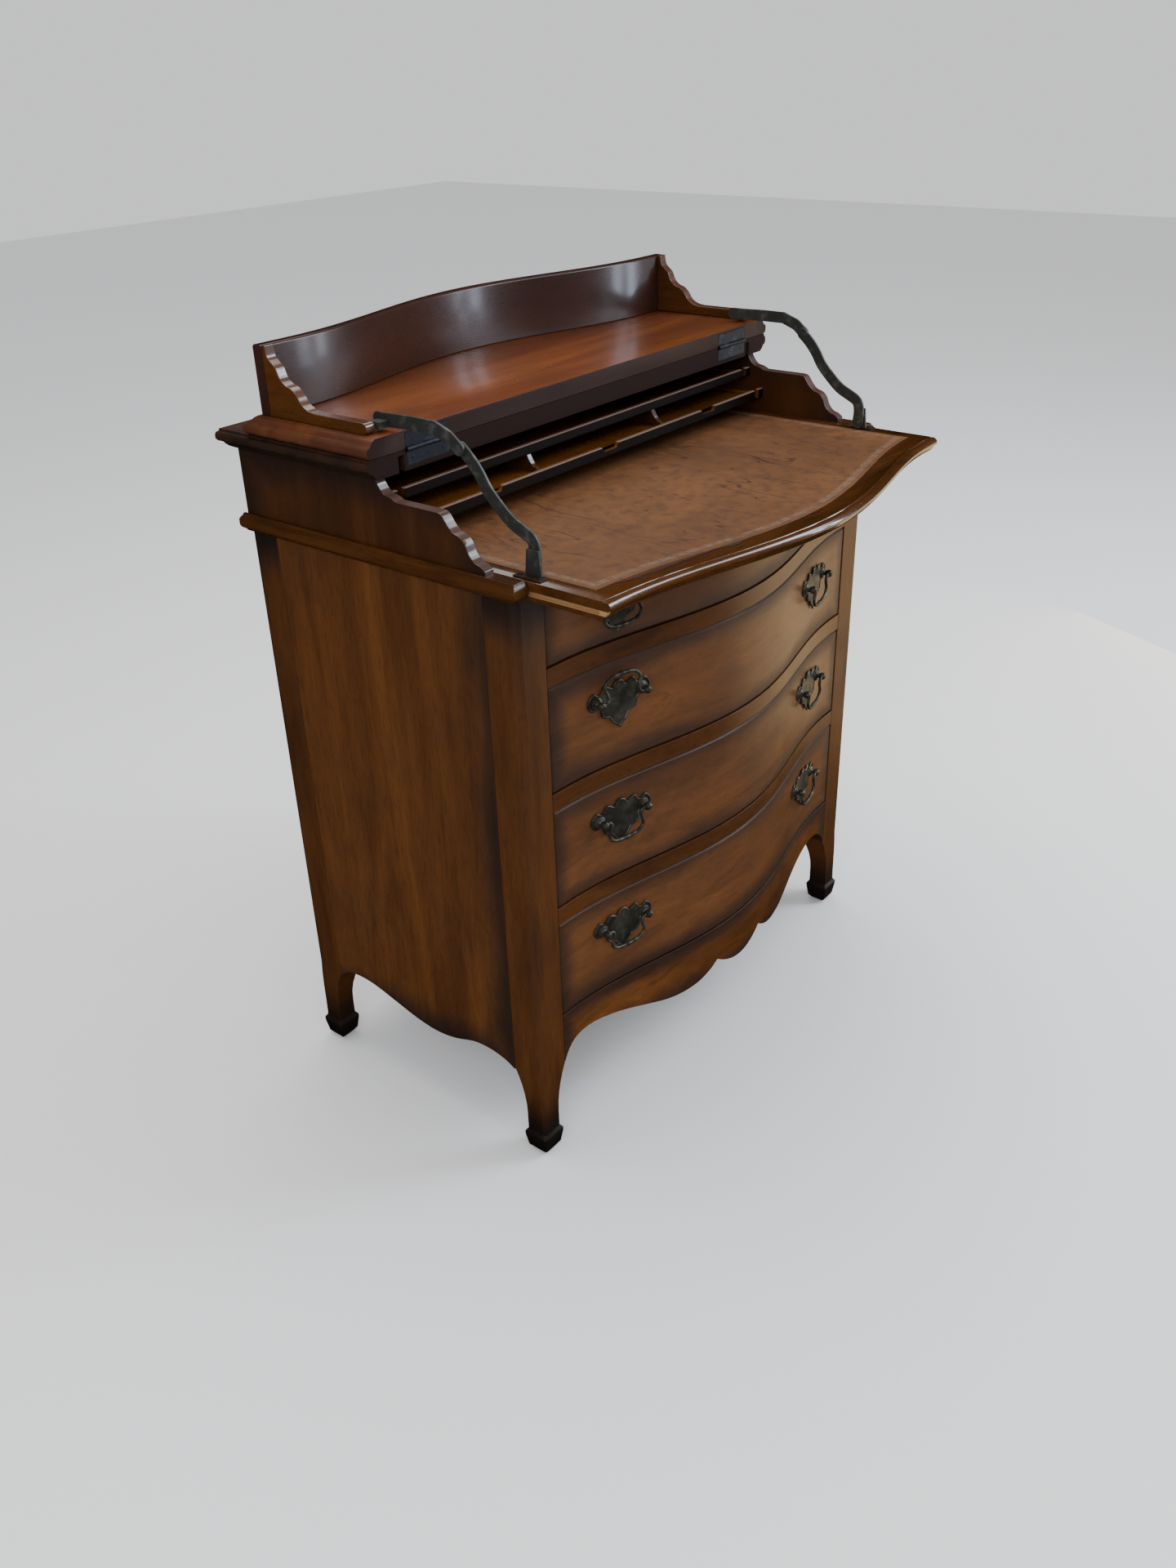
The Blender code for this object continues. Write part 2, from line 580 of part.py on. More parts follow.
# ---- writing board -----------------------------------------------------------------------------
def writing_board(parent):
    """Ply core and moulded front lipping in one outline, grooved along both sides."""
    # (depth behind the front edge, height below the top) of the moulded edge
    edge = ((0.0100, 0.0), (0.0094, 0.0011), (0.0084, 0.0011), (0.0079, 0.0001), (0.0055, 0.0002),
            (0.0025, 0.0013), (0.0005, 0.0036), (0.0, 0.0060), (0.0008, 0.0085), (0.0030, 0.0098),
            (0.0036, 0.0112), (0.0058, 0.0148), (0.0100, 0.0182), (0.0140, 0.0200))
    rings = []
    for x in spread(-WRITING_HALF_WIDTH, WRITING_HALF_WIDTH, 33):
        near = writing_front(x)
        ring = [(x, WRITING_REAR, WRITING_HEIGHT)]
        ring += [(x, near + back, WRITING_HEIGHT - down) for back, down in edge]
        ring += [(x, WRITING_REAR, WRITING_HEIGHT - WRITING_THICKNESS)]
        rings.append(ring)
    obj = mesh_object("writing_board", skin(rings), "mahogany", parent)
    combine(obj, leather_body(LEATHER_RECESS, 0.004, 0.0), "DIFFERENCE")
    for side in (-1, 1):
        low, high = sorted((side * (WRITING_HALF_WIDTH - GROOVE_DEPTH), side * (WRITING_HALF_WIDTH + 0.002)))
        groove = block((low, -WRITING_CORNER_REACH + LIPPING_DEPTH, GROOVE_MIDDLE - GROOVE_HEIGHT / 2),
                       (high, WRITING_REAR + 0.002, GROOVE_MIDDLE + GROOVE_HEIGHT / 2))
        combine(obj, groove, "DIFFERENCE")
    return obj


def leather_body(down, up, shrink):
    """The inlay's outline as a solid, reaching down and up from the writing surface."""
    half = WRITING_HALF_WIDTH - LEATHER_BORDER_SIDE - shrink
    rear = WRITING_REAR - LEATHER_BORDER_REAR - shrink
    rings = []
    for x in spread(-half, half, 25):
        near = writing_front(x) + LEATHER_BORDER_FRONT + shrink
        low, high = WRITING_HEIGHT - down, WRITING_HEIGHT + up
        rings.append([(x, near, low), (x, rear, low), (x, rear, high), (x, near, high)])
    return skin(rings)


# ---- steel arms --------------------------------------------------------------------------------
def ribbon(points, half_widths):
    """Outline of a flat bar along a centre line, with round ends."""
    left, right = [], []
    for i, (point, half) in enumerate(zip(points, half_widths)):
        before = Vector(points[max(i - 1, 0)])
        after = Vector(points[min(i + 1, len(points) - 1)])
        along = (after - before).normalized()
        across = Vector((-along.y, along.x)) * half
        left.append(tuple(Vector(point) + across))
        right.append(tuple(Vector(point) - across))
    outline = list(left)
    for end, half, toward in ((points[-1], half_widths[-1], Vector(points[-1]) - Vector(points[-2])),
                              (points[0], half_widths[0], Vector(points[0]) - Vector(points[1]))):
        heading = math.degrees(math.atan2(toward.y, toward.x))
        cap = arc(end, half, heading + 90, heading - 90, 8)
        outline += cap[1:-1]
        if end == points[-1]:
            outline += list(reversed(right))
    return outline


def arm_line():
    """Y, Z centre line of an arm, from the open pivot down to its foot."""
    top = Vector((HINGE_Y - ARM_PIN_FORWARD, HINGE_Z + ARM_PIN_RISE))
    foot = Vector((ARM_FOOT_Y, ARM_FOOT_Z))
    upper = [top, top + Vector((-0.0115, -0.0100)), top + Vector((-0.0220, -0.0225)),
             top + Vector((-0.0310, -0.0365))]
    lower = [foot + Vector((0.0460, 0.0555)), foot + Vector((0.0300, 0.0418)), foot + Vector((0.0130, 0.0335)),
             foot + Vector((0.0030, 0.0273)), foot + Vector((0.0, 0.0168)), foot]
    return flow([tuple(point) for point in upper + lower], 3)


def arm(name, side, parent):
    line = arm_line()
    widths = [ARM_HALF_WIDTH] * len(line)
    low, high = sorted((side * (ARM_X - ARM_THICKNESS / 2), side * (ARM_X + ARM_THICKNESS / 2)))
    return mesh_object(name, prism(ribbon(line, widths), low, high, "x"), "arm_steel", parent, smooth=50)


def bracket_plane(side):
    near = ARM_X + ARM_THICKNESS / 2 + PLAY / 2
    return sorted((side * near, side * (near + ARM_THICKNESS)))


def arm_bracket(name, side, parent):
    """The bar fixed to the gallery's low side that carries the arm's upper pivot."""
    pin = (HINGE_Y - ARM_PIN_FORWARD, HINGE_Z + ARM_PIN_RISE)
    line = [pin, BRACKET_BEND, BRACKET_KINK, (HINGE_Y - 0.020, BRACKET_KINK[1]),
            (HINGE_Y + 0.010, BRACKET_HEIGHT), (BRACKET_REAR, BRACKET_HEIGHT)]
    low, high = bracket_plane(side)
    bar = prism(ribbon(line, [ARM_HALF_WIDTH] * len(line)), low, high, "x")
    obj = mesh_object(name, bar, "arm_steel", parent, smooth=50)
    wall = CASE_HALF_WIDTH - GALLERY_SIDE_THICKNESS - FIT
    low, high = sorted((side * (ARM_X + ARM_THICKNESS), side * wall))
    pad = block((low, BRACKET_REAR - BRACKET_PAD_LENGTH, BRACKET_HEIGHT - 0.0065),
                (high, BRACKET_REAR - 0.001, BRACKET_HEIGHT + 0.0005))
    combine(obj, pad, "UNION")
    return obj


def arm_foot(name, side, parent):
    """A foot plate on the writing board with an upright, flared ear beside the arm."""
    low, high = bracket_plane(side)
    base_low, base_high = sorted((side * (ARM_X + ARM_THICKNESS / 2 + PLAY / 2), side * (ARM_X + FOOT_PLATE_REACH)))
    surface = WRITING_HEIGHT + LEATHER_PROUD + FIT
    plate = block((base_low, ARM_FOOT_Y - FOOT_PLATE_HALF, surface),
                  (base_high, ARM_FOOT_Y + FOOT_PLATE_HALF, surface + FOOT_PLATE_THICKNESS))
    obj = mesh_object(name, plate, "arm_steel", parent)
    rise = WRITING_HEIGHT + EAR_HEIGHT
    ear = [(ARM_FOOT_Y - EAR_HALF_BOTTOM, surface + 0.0007), (ARM_FOOT_Y + EAR_HALF_BOTTOM, surface + 0.0007),
           (ARM_FOOT_Y + EAR_HALF_TOP, rise), (ARM_FOOT_Y - EAR_HALF_TOP, rise)]
    combine(obj, prism(ear, low, high, "x"), "UNION")
    return obj


# ---- drawers -----------------------------------------------------------------------------------
def drawer_front(name, bottom, top, parent):
    ease = 0.0025
    rings = []
    half = OPENING_HALF - DRAWER_GAP
    stations = [-half] + spread(-half + ease, half - ease, 25) + [half]
    for x in stations:
        near = serpentine(x)
        far = near + FRONT_THICKNESS
        if abs(x) == half:
            near += ease
            ring = [(near, bottom + ease), (near + FIT, bottom), (far, bottom), (far, top), (near + FIT, top),
                    (near, top - ease)]
        else:
            ring = [(near, bottom + ease), (near + ease, bottom), (far, bottom), (far, top), (near + ease, top),
                    (near, top - ease)]
        rings.append([(x, y, z) for y, z in ring])
    return mesh_object(name, skin(rings), "mahogany", parent)


def drawer_box(name, bottom, top, parent):
    """Bottom, two sides and a back.  The bottom follows the back of the swelling front."""
    half = OPENING_HALF - DRAWER_BOX_CLEARANCE
    low = bottom + DRAWER_GAP
    high = top - DRAWER_BOX_SHORTFALL
    front = FRONT_THICKNESS + FIT
    rear = front + DRAWER_BOX_LENGTH
    rings = []
    for x in spread(-half, half, 21):
        near = serpentine(x) + front + FIT
        rings.append([(x, near, low), (x, rear, low), (x, rear, low + DRAWER_BOTTOM_THICKNESS),
                      (x, near, low + DRAWER_BOTTOM_THICKNESS)])
    obj = mesh_object(name, skin(rings), "drawer_wood", parent)
    inner = half - DRAWER_SIDE_THICKNESS
    start = front + FIT
    walls = [block((-half, start, low + 0.001), (-inner, rear, high)),
             block((inner, start, low + 0.001), (half, rear, high)),
             block((-half + 0.001, rear - DRAWER_SIDE_THICKNESS, low + 0.001), (half - 0.001, rear, high - 0.001))]
    for wall in walls:
        combine(obj, wall, "UNION")
    return obj


# ---- pulls -------------------------------------------------------------------------------------
def plate_outline():
    """X, Z outline of a bat-wing plate about the middle between its posts."""
    half = flow(((0.0, 0.0195), (0.0055, 0.0175), (0.0095, 0.0120), (0.0150, 0.0150), (0.0215, 0.0165),
                 (0.0250, 0.0110), (0.0300, 0.0085), (0.0360, 0.0125), (0.0420, 0.0095), (PLATE_HALF_WIDTH, 0.0015),
                 (0.0425, -0.0070), (0.0350, -0.0095), (0.0300, -0.0065), (0.0265, -0.0120), (0.0255, -0.0190),
                 (0.0200, -0.0225), (0.0145, -0.0235), (0.0105, -0.0305), (0.0045, -0.0350), (0.0, -0.0400)), 1)
    mirrored = [(-x, z) for x, z in reversed(half[1:-1])]
    return half + mirrored


def pull_place(side):
    """Where the plate's back lies on the swelling front, and how far it turns to face outward."""
    near = serpentine(PULL_X - PLATE_HALF_WIDTH)
    far = serpentine(PULL_X + PLATE_HALF_WIDTH)
    turn = math.atan2(far - near, 2 * PLATE_HALF_WIDTH)
    gap = FIT / math.cos(turn)
    return (near + far) / 2 - gap, side * turn


def backplate(name, side, height, parent):
    outline = plate_outline()
    face = -PLATE_THICKNESS
    obj = mesh_object(name, prism(outline, face, 0.0, "y"), "bronze", parent)
    y, turn = pull_place(side)
    obj.location = Vector((side * PULL_X, y, height)) - offset_to_desk(parent)
    obj.rotation_euler = (0.0, 0.0, turn)
    for end in (-1, 1):
        x = end * PULL_BORING / 2
        combine(obj, rod((x, face + 0.001, 0), (x, face - POST_REACH - POST_RADIUS, 0), POST_RADIUS, 12), "UNION")
    return obj


def bail_line():
    """X, Z centre line of a swan-neck bail hanging from its two pin ends."""
    end = PULL_BORING / 2 - POST_RADIUS - PLAY
    half = flow(((end, 0.0), (end - 0.0035, -0.0008), (end - 0.0055, -0.0045), (end - 0.0040, -0.0105),
                 (end - 0.0005, -0.0165), (end - 0.0015, -0.0230), (end - 0.0070, -0.0280),
                 (end - 0.0160, -BAIL_DROP), (0.0, -BAIL_DROP - 0.0005)), 2)
    return half + [(-x, z) for x, z in reversed(half[:-1])]


def bail(name, side, height, axis_point, turn, parent):
    """A round bar along the swan-neck line, swept by rings that stay square to it."""
    line = [Vector((x, 0.0, z)) for x, z in bail_line()]
    sides = 6
    rings = []
    for i, centre in enumerate(line):
        along = (line[min(i + 1, len(line) - 1)] - line[max(i - 1, 0)]).normalized()
        across = Vector((0, 1, 0)).cross(along).normalized()
        swell = 1.0 + 0.35 * math.exp(-((centre.x / 0.008) ** 2)) * (1 if centre.z < -0.02 else 0)
        ring = []
        for k in range(sides):
            angle = 2 * math.pi * k / sides
            offset = across * math.cos(angle) + Vector((0, 1, 0)) * math.sin(angle)
            ring.append(centre + offset * BAIL_RADIUS * swell)
        rings.append(ring)
    bm = skin(rings)
    if name == RAISED_BAIL:
        bmesh.ops.rotate(bm, verts=bm.verts, matrix=Matrix.Rotation(-RAISED_ANGLE, 3, "X"))
    obj = mesh_object(name, bm, "bronze", parent)
    obj.location = axis_point - offset_to_desk(parent)
    obj.rotation_euler = (0.0, 0.0, turn)
    return obj


def pulls(number, bottom, top, rise, parent):
    height = (bottom + top) / 2 + rise
    for side, word in ((-1, "left"), (1, "right")):
        backplate(f"backplate_{number}_{word}", side, height, parent)
        y, turn = pull_place(side)
        reach = Matrix.Rotation(turn, 3, "Z") @ Vector((0.0, -PLATE_THICKNESS - POST_REACH, 0.0))
        bail(f"bail_{number}_{word}", side, height, Vector((side * PULL_X, y, height)) + reach, turn, parent)


# ---- the whole desk ----------------------------------------------------------------------------
def build():
    clear_scene()
    desk = empty("desk", (0.0, -MIDDLE_Y, 0.0))
    lid_axis = empty("lid_axis", (0.0, HINGE_Y, HINGE_Z), desk)
    writing_slide = empty("writing_slide", (0.0, 0.0, WRITING_HEIGHT), desk)
    sides = ((-1, "left"), (1, "right"))
    for side, word in sides:
        post(f"post_front_{word}", side, True, desk)
        post(f"post_rear_{word}", side, False, desk)
        case_side(f"side_{word}", side, desk)
        waist_moulding(f"waist_moulding_{word}", side, desk)
        hinge_leaf(f"hinge_leaf_case_{word}", side, -1, desk)
        hinge_leaf(f"hinge_leaf_lid_{word}", side, 1, lid_axis)
        gallery_side(f"gallery_side_{word}", side, lid_axis)
        arm_bracket(f"arm_bracket_{word}", side, lid_axis)
        arm_foot(f"arm_foot_{word}", side, writing_slide)
        foot_axis = empty(f"arm_axis_{word}", (side * ARM_X, ARM_FOOT_Y, ARM_FOOT_Z - WRITING_HEIGHT), writing_slide)
        arm(f"arm_{word}", side, foot_axis)
        divider(f"divider_{word}", side * DIVIDER_X, desk)
    back_panel(desk)
    apron_front(desk)
    top_board(desk)
    lid_board(lid_axis)
    gallery_back(lid_axis)
    lipped_shelf("tray_shelf", TRAY_FRONT, TRAY_TOP, TRAY_THICKNESS, NOTCH_X, desk)
    lipped_shelf("upper_shelf", SHELF_FRONT, SHELF_TOP, SHELF_THICKNESS, (), desk)
    writing_board(writing_slide)
    mesh_object("leather", leather_body(LEATHER_RECESS - FIT, LEATHER_PROUD, FIT), "leather", writing_slide)

    lowest = DRAWER_FRONTS[0][0] - DRAWER_GAP
    dust_board("dust_board_1", lowest - DUST_BOARD_THICKNESS, lowest, desk, rail=False)
    for i, (bottom, top) in enumerate(DRAWER_FRONTS, start=1):
        slide = empty(f"drawer_slide_{i}", (0.0, 0.0, bottom), desk)
        drawer_front(f"drawer_front_{i}", bottom, top, slide)
        drawer_box(f"drawer_box_{i}", bottom, top, slide)
        pulls(i, bottom, top, PULL_RISE[i - 1], slide)
        if i < len(DRAWER_FRONTS):
            dust_board(f"dust_board_{i + 1}", top + DRAWER_GAP, DRAWER_FRONTS[i][0] - DRAWER_GAP, desk)
    highest = DRAWER_FRONTS[-1][1] + DRAWER_GAP
    dust_board("top_frame", highest, WRITING_HEIGHT - WRITING_THICKNESS - FIT, desk, rail=False)
    bpy.context.view_layer.update()


build()
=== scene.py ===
"""The finished look of the chest desk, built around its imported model."""

import json
import math

import bmesh
import bpy
from mathutils import Matrix, Vector

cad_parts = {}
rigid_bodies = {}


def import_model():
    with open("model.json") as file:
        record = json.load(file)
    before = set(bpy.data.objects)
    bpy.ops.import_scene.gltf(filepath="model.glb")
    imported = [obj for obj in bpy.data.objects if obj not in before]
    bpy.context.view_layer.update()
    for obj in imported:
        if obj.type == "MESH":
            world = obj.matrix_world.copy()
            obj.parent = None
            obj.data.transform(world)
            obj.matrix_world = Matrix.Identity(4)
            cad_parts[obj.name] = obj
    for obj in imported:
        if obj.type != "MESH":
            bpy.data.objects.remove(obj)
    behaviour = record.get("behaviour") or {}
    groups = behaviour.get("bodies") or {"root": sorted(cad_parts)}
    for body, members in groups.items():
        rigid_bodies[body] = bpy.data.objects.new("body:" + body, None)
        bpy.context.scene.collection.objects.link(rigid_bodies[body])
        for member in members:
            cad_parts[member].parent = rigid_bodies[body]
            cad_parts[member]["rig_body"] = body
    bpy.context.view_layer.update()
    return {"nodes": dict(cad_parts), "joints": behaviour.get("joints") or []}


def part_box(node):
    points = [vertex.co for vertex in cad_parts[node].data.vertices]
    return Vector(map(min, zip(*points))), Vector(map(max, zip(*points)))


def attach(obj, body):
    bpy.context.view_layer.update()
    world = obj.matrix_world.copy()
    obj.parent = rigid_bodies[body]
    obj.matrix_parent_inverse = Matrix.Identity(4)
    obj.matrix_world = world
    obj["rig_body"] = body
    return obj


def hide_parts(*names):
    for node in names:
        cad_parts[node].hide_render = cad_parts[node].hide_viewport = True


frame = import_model()
SIDES = ("left", "right")
JOINTS = {joint["name"]: joint for joint in frame["joints"]}


# ---- camera ----------------------------------------------------------------------------------
EYE = Vector((-1.2690, -0.9581, 1.2269))
HEADING = 0.8851      # radians, turned from +Y towards +X
TILT = 0.5132         # radians, downward
ROLL = -0.0323        # radians, about the line of sight
LENS = 30.61          # mm


def make_camera():
    flat = math.cos(TILT)
    forward = Vector((math.sin(HEADING) * flat, math.cos(HEADING) * flat, -math.sin(TILT)))
    right = Vector((math.cos(HEADING), -math.sin(HEADING), 0.0))
    up = right.cross(forward)
    right, up = (right * math.cos(ROLL) + up * math.sin(ROLL),
                 up * math.cos(ROLL) - right * math.sin(ROLL))
    data = bpy.data.cameras.new("camera")
    data.lens = LENS
    camera = bpy.data.objects.new("camera", data)
    rows = Matrix((right, up, -forward)).transposed()
    camera.matrix_world = Matrix.Translation(EYE) @ rows.to_4x4()
    bpy.context.scene.collection.objects.link(camera)
    bpy.context.scene.camera = camera


make_camera()


# ---- shader tools ----------------------------------------------------------------------------
class Signal:
    """A value that varies over a surface.  Arithmetic on it adds Math nodes."""

    def __init__(self, tree, socket):
        self.tree = tree
        self.socket = socket

    def operate(self, operation, *others, first=None):
        values = (self, *others) if first is None else (first, self)
        return add_node(self.tree, "ShaderNodeMath", {"operation": operation}, enumerate(values))

    def __add__(self, other):
        return self.operate("ADD", other)

    def __sub__(self, other):
        return self.operate("SUBTRACT", other)

    def __mul__(self, other):
        return self.operate("MULTIPLY", other)

    def __rsub__(self, other):
        return self.operate("SUBTRACT", first=other)

    def __abs__(self):
        return self.operate("ABSOLUTE")

    __radd__ = __add__
    __rmul__ = __mul__

    def least(self, other):
        return self.operate("MINIMUM", other)

    def most(self, other):
        return self.operate("MAXIMUM", other)

    def rise(self, low, high):
        """0 below low, 1 above high and smooth between them."""
        return add_node(self.tree, "ShaderNodeMapRange", {"interpolation_type": "SMOOTHSTEP"},
                        enumerate((self, low, high, 0.0, 1.0)))


def plug(tree, place, value):
    """Link a signal to a socket, or set the socket to a number, a vector or a colour."""
    if isinstance(value, Signal):
        tree.links.new(value.socket, place)
    elif isinstance(value, (tuple, list)) and len(value) == 3 and place.type == "RGBA":
        place.default_value = (*value, 1.0)
    else:
        place.default_value = value


def add_node(tree, kind, settings=(), sockets=(), output=0):
    """Any node: its settings first, then the values or links of its sockets."""
    node = tree.nodes.new(kind)
    for key, value in dict(settings).items():
        setattr(node, key, value)
    for key, value in dict(sockets).items():
        plug(tree, node.inputs[key], value)
    return Signal(tree, node.outputs[output])


class Finish:
    """A material under construction."""

    def __init__(self, name, metallic=0.0, coat_roughness=0.12, specular=0.5):
        self.material = bpy.data.materials.new(name)
        self.material.use_nodes = True
        self.tree = self.material.node_tree
        self.shader = self.tree.nodes["Principled BSDF"]
        self.shader.inputs["Metallic"].default_value = metallic
        self.shader.inputs["Coat Roughness"].default_value = coat_roughness
        self.shader.inputs["Specular IOR Level"].default_value = specular
        self.place = self.add("ShaderNodeTexCoord", output="Object")
        self.x, self.y, self.z = (self.share(self.place, axis) for axis in "XYZ")

    def add(self, kind, settings=(), output=0, **sockets):
        named = {key.replace("_", " "): value for key, value in sockets.items()}
        return add_node(self.tree, kind, settings, named, output)

    def share(self, vector, axis):
        """A vector's part along one axis."""
        return self.add("ShaderNodeSeparateXYZ", output=axis, Vector=vector)

    def facing(self, axis):
        """How far the surface faces along an axis, from -1 to 1."""
        return self.share(self.add("ShaderNodeNewGeometry", output="Normal"), axis)

    def grain(self, scale, shift=(0.0, 0.0, 0.0), detail=3.0, rough=0.55, distortion=0.0, turn=0.0):
        """Noise drawn out along the axes and turned about Z."""
        drawn = self.add("ShaderNodeMapping", Vector=self.place, Location=shift,
                         Rotation=(0.0, 0.0, turn), Scale=scale)
        return self.add("ShaderNodeTexNoise", Vector=drawn, Scale=1.0, Detail=detail,
                        Roughness=rough, Distortion=distortion)

    def mix(self, share, first, second):
        """A colour between two, by a share from 0 to 1."""
        sockets = {0: share, 6: first, 7: second}     # the colour sockets share their names
        return add_node(self.tree, "ShaderNodeMix", {"data_type": "RGBA"}, sockets, output=2)

    def paint(self, color, roughness, height=None, depth=0.0002, coat=None):
        """Join the finished signals to the shader.  depth is the relief in metres."""
        plug(self.tree, self.shader.inputs["Base Color"], color)
        plug(self.tree, self.shader.inputs["Roughness"], roughness)
        if coat is not None:
            plug(self.tree, self.shader.inputs["Coat Weight"], coat)
        if height is not None:
            bump = self.add("ShaderNodeBump", Height=height, Distance=depth, Strength=1.0)
            plug(self.tree, self.shader.inputs["Normal"], bump)
        return self.material


def scaled(numbers, factor):
    return tuple(part * factor for part in numbers)


# ---- wood ------------------------------------------------------------------------------------
GRAIN_RUN = {"x": (1.0, 9.0, 9.0), "y": (9.0, 1.0, 9.0), "z": (9.0, 9.0, 1.0)}
UMBER = (0.020, 0.0062, 0.0016)
BROWN = (0.070, 0.0225, 0.0042)
AMBER = (0.150, 0.050, 0.0080)
# colour of the random dark glazing, and of the painted shade along the edges of a box
GLAZE_AND_SHADE = (0.011, 0.0052, 0.0035)
DUSK_BROWN = (0.020, 0.0052, 0.0015)      # the case sides above the waist: a darker tone outside and painted shade inside
FOOT_BLACK = (0.0075, 0.0035, 0.0024)
FRONT_SHADE = (0.016, 0.0055, 0.0036)
# painted shadow: the near-black of the shelves' forward faces under their lips
SHELF_SHADOW = (0.0035, 0.0016, 0.0012)
# painted highlight: the lighter colour of the narrow end-grain edges of the sides
EDGE_HIGHLIGHT = (0.105, 0.052, 0.040)
# painted highlight along the top of the shelves' lips
LIP_HIGHLIGHT = (0.20, 0.125, 0.095)
RAW_WOOD = (0.30, 0.165, 0.070)


def edge_depth(finish, box, axes):
    """Distance in metres from the nearest edge of a node's box, across the named axes."""
    depth = None
    for axis in axes:
        i = "xyz".index(axis)
        here = (finish.x, finish.y, finish.z)[i]
        inward = (here - box[0][i]).least(box[1][i] - here)
        depth = inward if depth is None else depth.least(inward)
    return depth


def mahogany(name, along="x", tone=1.0, warmth=1.0, gloss=0.27, seed=0.0, box=None, axes="",
             margin=0.05, dark=0.75, streak=1.0, polish=0.12, edge_polish=None, dusk=None,
             foot=None, shaded_front=0.0, coat_blur=0.20, figuring=0.35, raw_band=None,
             specular=0.30, grain_depth=0.00006, shade=FRONT_SHADE, lip_highlight_top=None, tinge=None):
    """Polished mahogany: amber streaks, fine fibre and pores, dark glazing rubbed in, and painted
    shade and highlights.

    box, axes, margin and dark darken the piece towards those edges of its box: partly real glazing,
    and partly painted shade in coves, under overhangs and along the edges.  polish is the weight of
    the clear coat, and edge_polish its weight on the narrow edges of an upright side, whose colour
    is lightened there as a painted highlight.  dusk, foot, lip_highlight_top and raw_band are
    heights: darker above (a darker tone outside and painted shade on the case's inner faces), black
    below, a painted highlight along the top and bare wood between.  shaded_front paints shade on
    what faces forward and dulls its polish.  tinge is a share and a colour.
    """
    finish = Finish(name, coat_roughness=coat_blur, specular=specular)
    run = GRAIN_RUN[along]
    shift = (seed, seed * 1.7, seed * 0.6)
    bands = finish.grain(scaled(run, 1.9), shift, detail=3.0, rough=0.6, distortion=0.5)
    figure = finish.grain(scaled(run, 5.5), shift, detail=4.0, rough=0.6, distortion=0.9)
    fibre = finish.grain(scaled(run, 42.0), shift, detail=3.0, rough=0.65)
    pores = finish.grain(scaled(run, 150.0), shift, detail=2.0, rough=0.5)
    cloud = finish.grain((6.0, 6.0, 6.0), shift, detail=3.0, rough=0.6)
    umber = scaled(UMBER, tone)
    amber = (AMBER[0] * tone * warmth, AMBER[1] * tone * warmth, AMBER[2] * tone)
    color = finish.mix(bands.rise(0.30, 0.70) * (0.75 * streak), scaled(BROWN, tone), amber)
    color = finish.mix(figure.rise(0.42, 0.72) * figuring, color, umber)
    color = finish.mix(fibre.rise(0.40, 0.75) * 0.30, color, umber)
    color = finish.mix(pores.rise(0.60, 0.72) * 0.45, color, umber)
    if tinge is not None:
        color = finish.mix(tinge[0], color, tinge[1])
    glaze_and_shade = cloud.rise(0.45, 0.75) * 0.25
    # painted shade: darker towards the box's edges, in coves, under overhangs and along edges
    if box is not None:
        depth = edge_depth(finish, box, axes) + (cloud - 0.5) * margin
        glaze_and_shade = glaze_and_shade.most((1.0 - depth.rise(0.0, margin)) * dark)
        if polish:
            polish = (1.0 - glaze_and_shade) * polish
    color = finish.mix(glaze_and_shade, color, scaled(GLAZE_AND_SHADE, tone))
    rough = gloss + fibre * 0.08 + glaze_and_shade * (0.08 if box is None else 0.30)
    relief = 1.0 - pores.rise(0.58, 0.72) * 0.7 - fibre * 0.25
    # darker above the height: the outer band's darker tone, and painted shade on the inner faces
    # above the board
    if dusk is not None:
        color = finish.mix(finish.z.rise(dusk, dusk + 0.004) * 0.55, color, DUSK_BROWN)
    if foot is not None:
        # darker towards the floor and black at the feet
        foot_darkening = 1.0 - (finish.z + (cloud - 0.5) * 0.05).rise(0.018, foot)
        color = finish.mix(foot_darkening * 0.88, color, FOOT_BLACK)
    if shaded_front:
        front = (0.0 - finish.facing("Y")).rise(0.35, 0.8) * shaded_front
        color = finish.mix(front, color, shade)
        rough = rough + front * 0.35
        polish = (1.0 - front) * polish
    if edge_polish is not None:
        edge = 1.0 - abs(finish.facing("X")).rise(0.25, 0.6)
        # painted highlight: the narrow edges' colour is lightened, besides their heavier coat
        color = finish.mix(edge * 0.45, color, EDGE_HIGHLIGHT)
        polish = polish + edge * (edge_polish - polish)
    if lip_highlight_top is not None:
        # painted highlight: a lighter line along the top of the lip
        lip = finish.z.rise(lip_highlight_top - 0.0016, lip_highlight_top - 0.0006)
        color = finish.mix(lip * 0.8, color, LIP_HIGHLIGHT)
    if raw_band is not None:
        low, high, side = raw_band
        inside = finish.z.rise(low - 0.0002, low) * (1.0 - finish.z.rise(high, high + 0.0002))
        inside = inside * abs(finish.x).rise(side, side + 0.0005)
        color = finish.mix(inside, color, RAW_WOOD)
    return finish.paint(color, rough, relief, grain_depth, coat=polish)


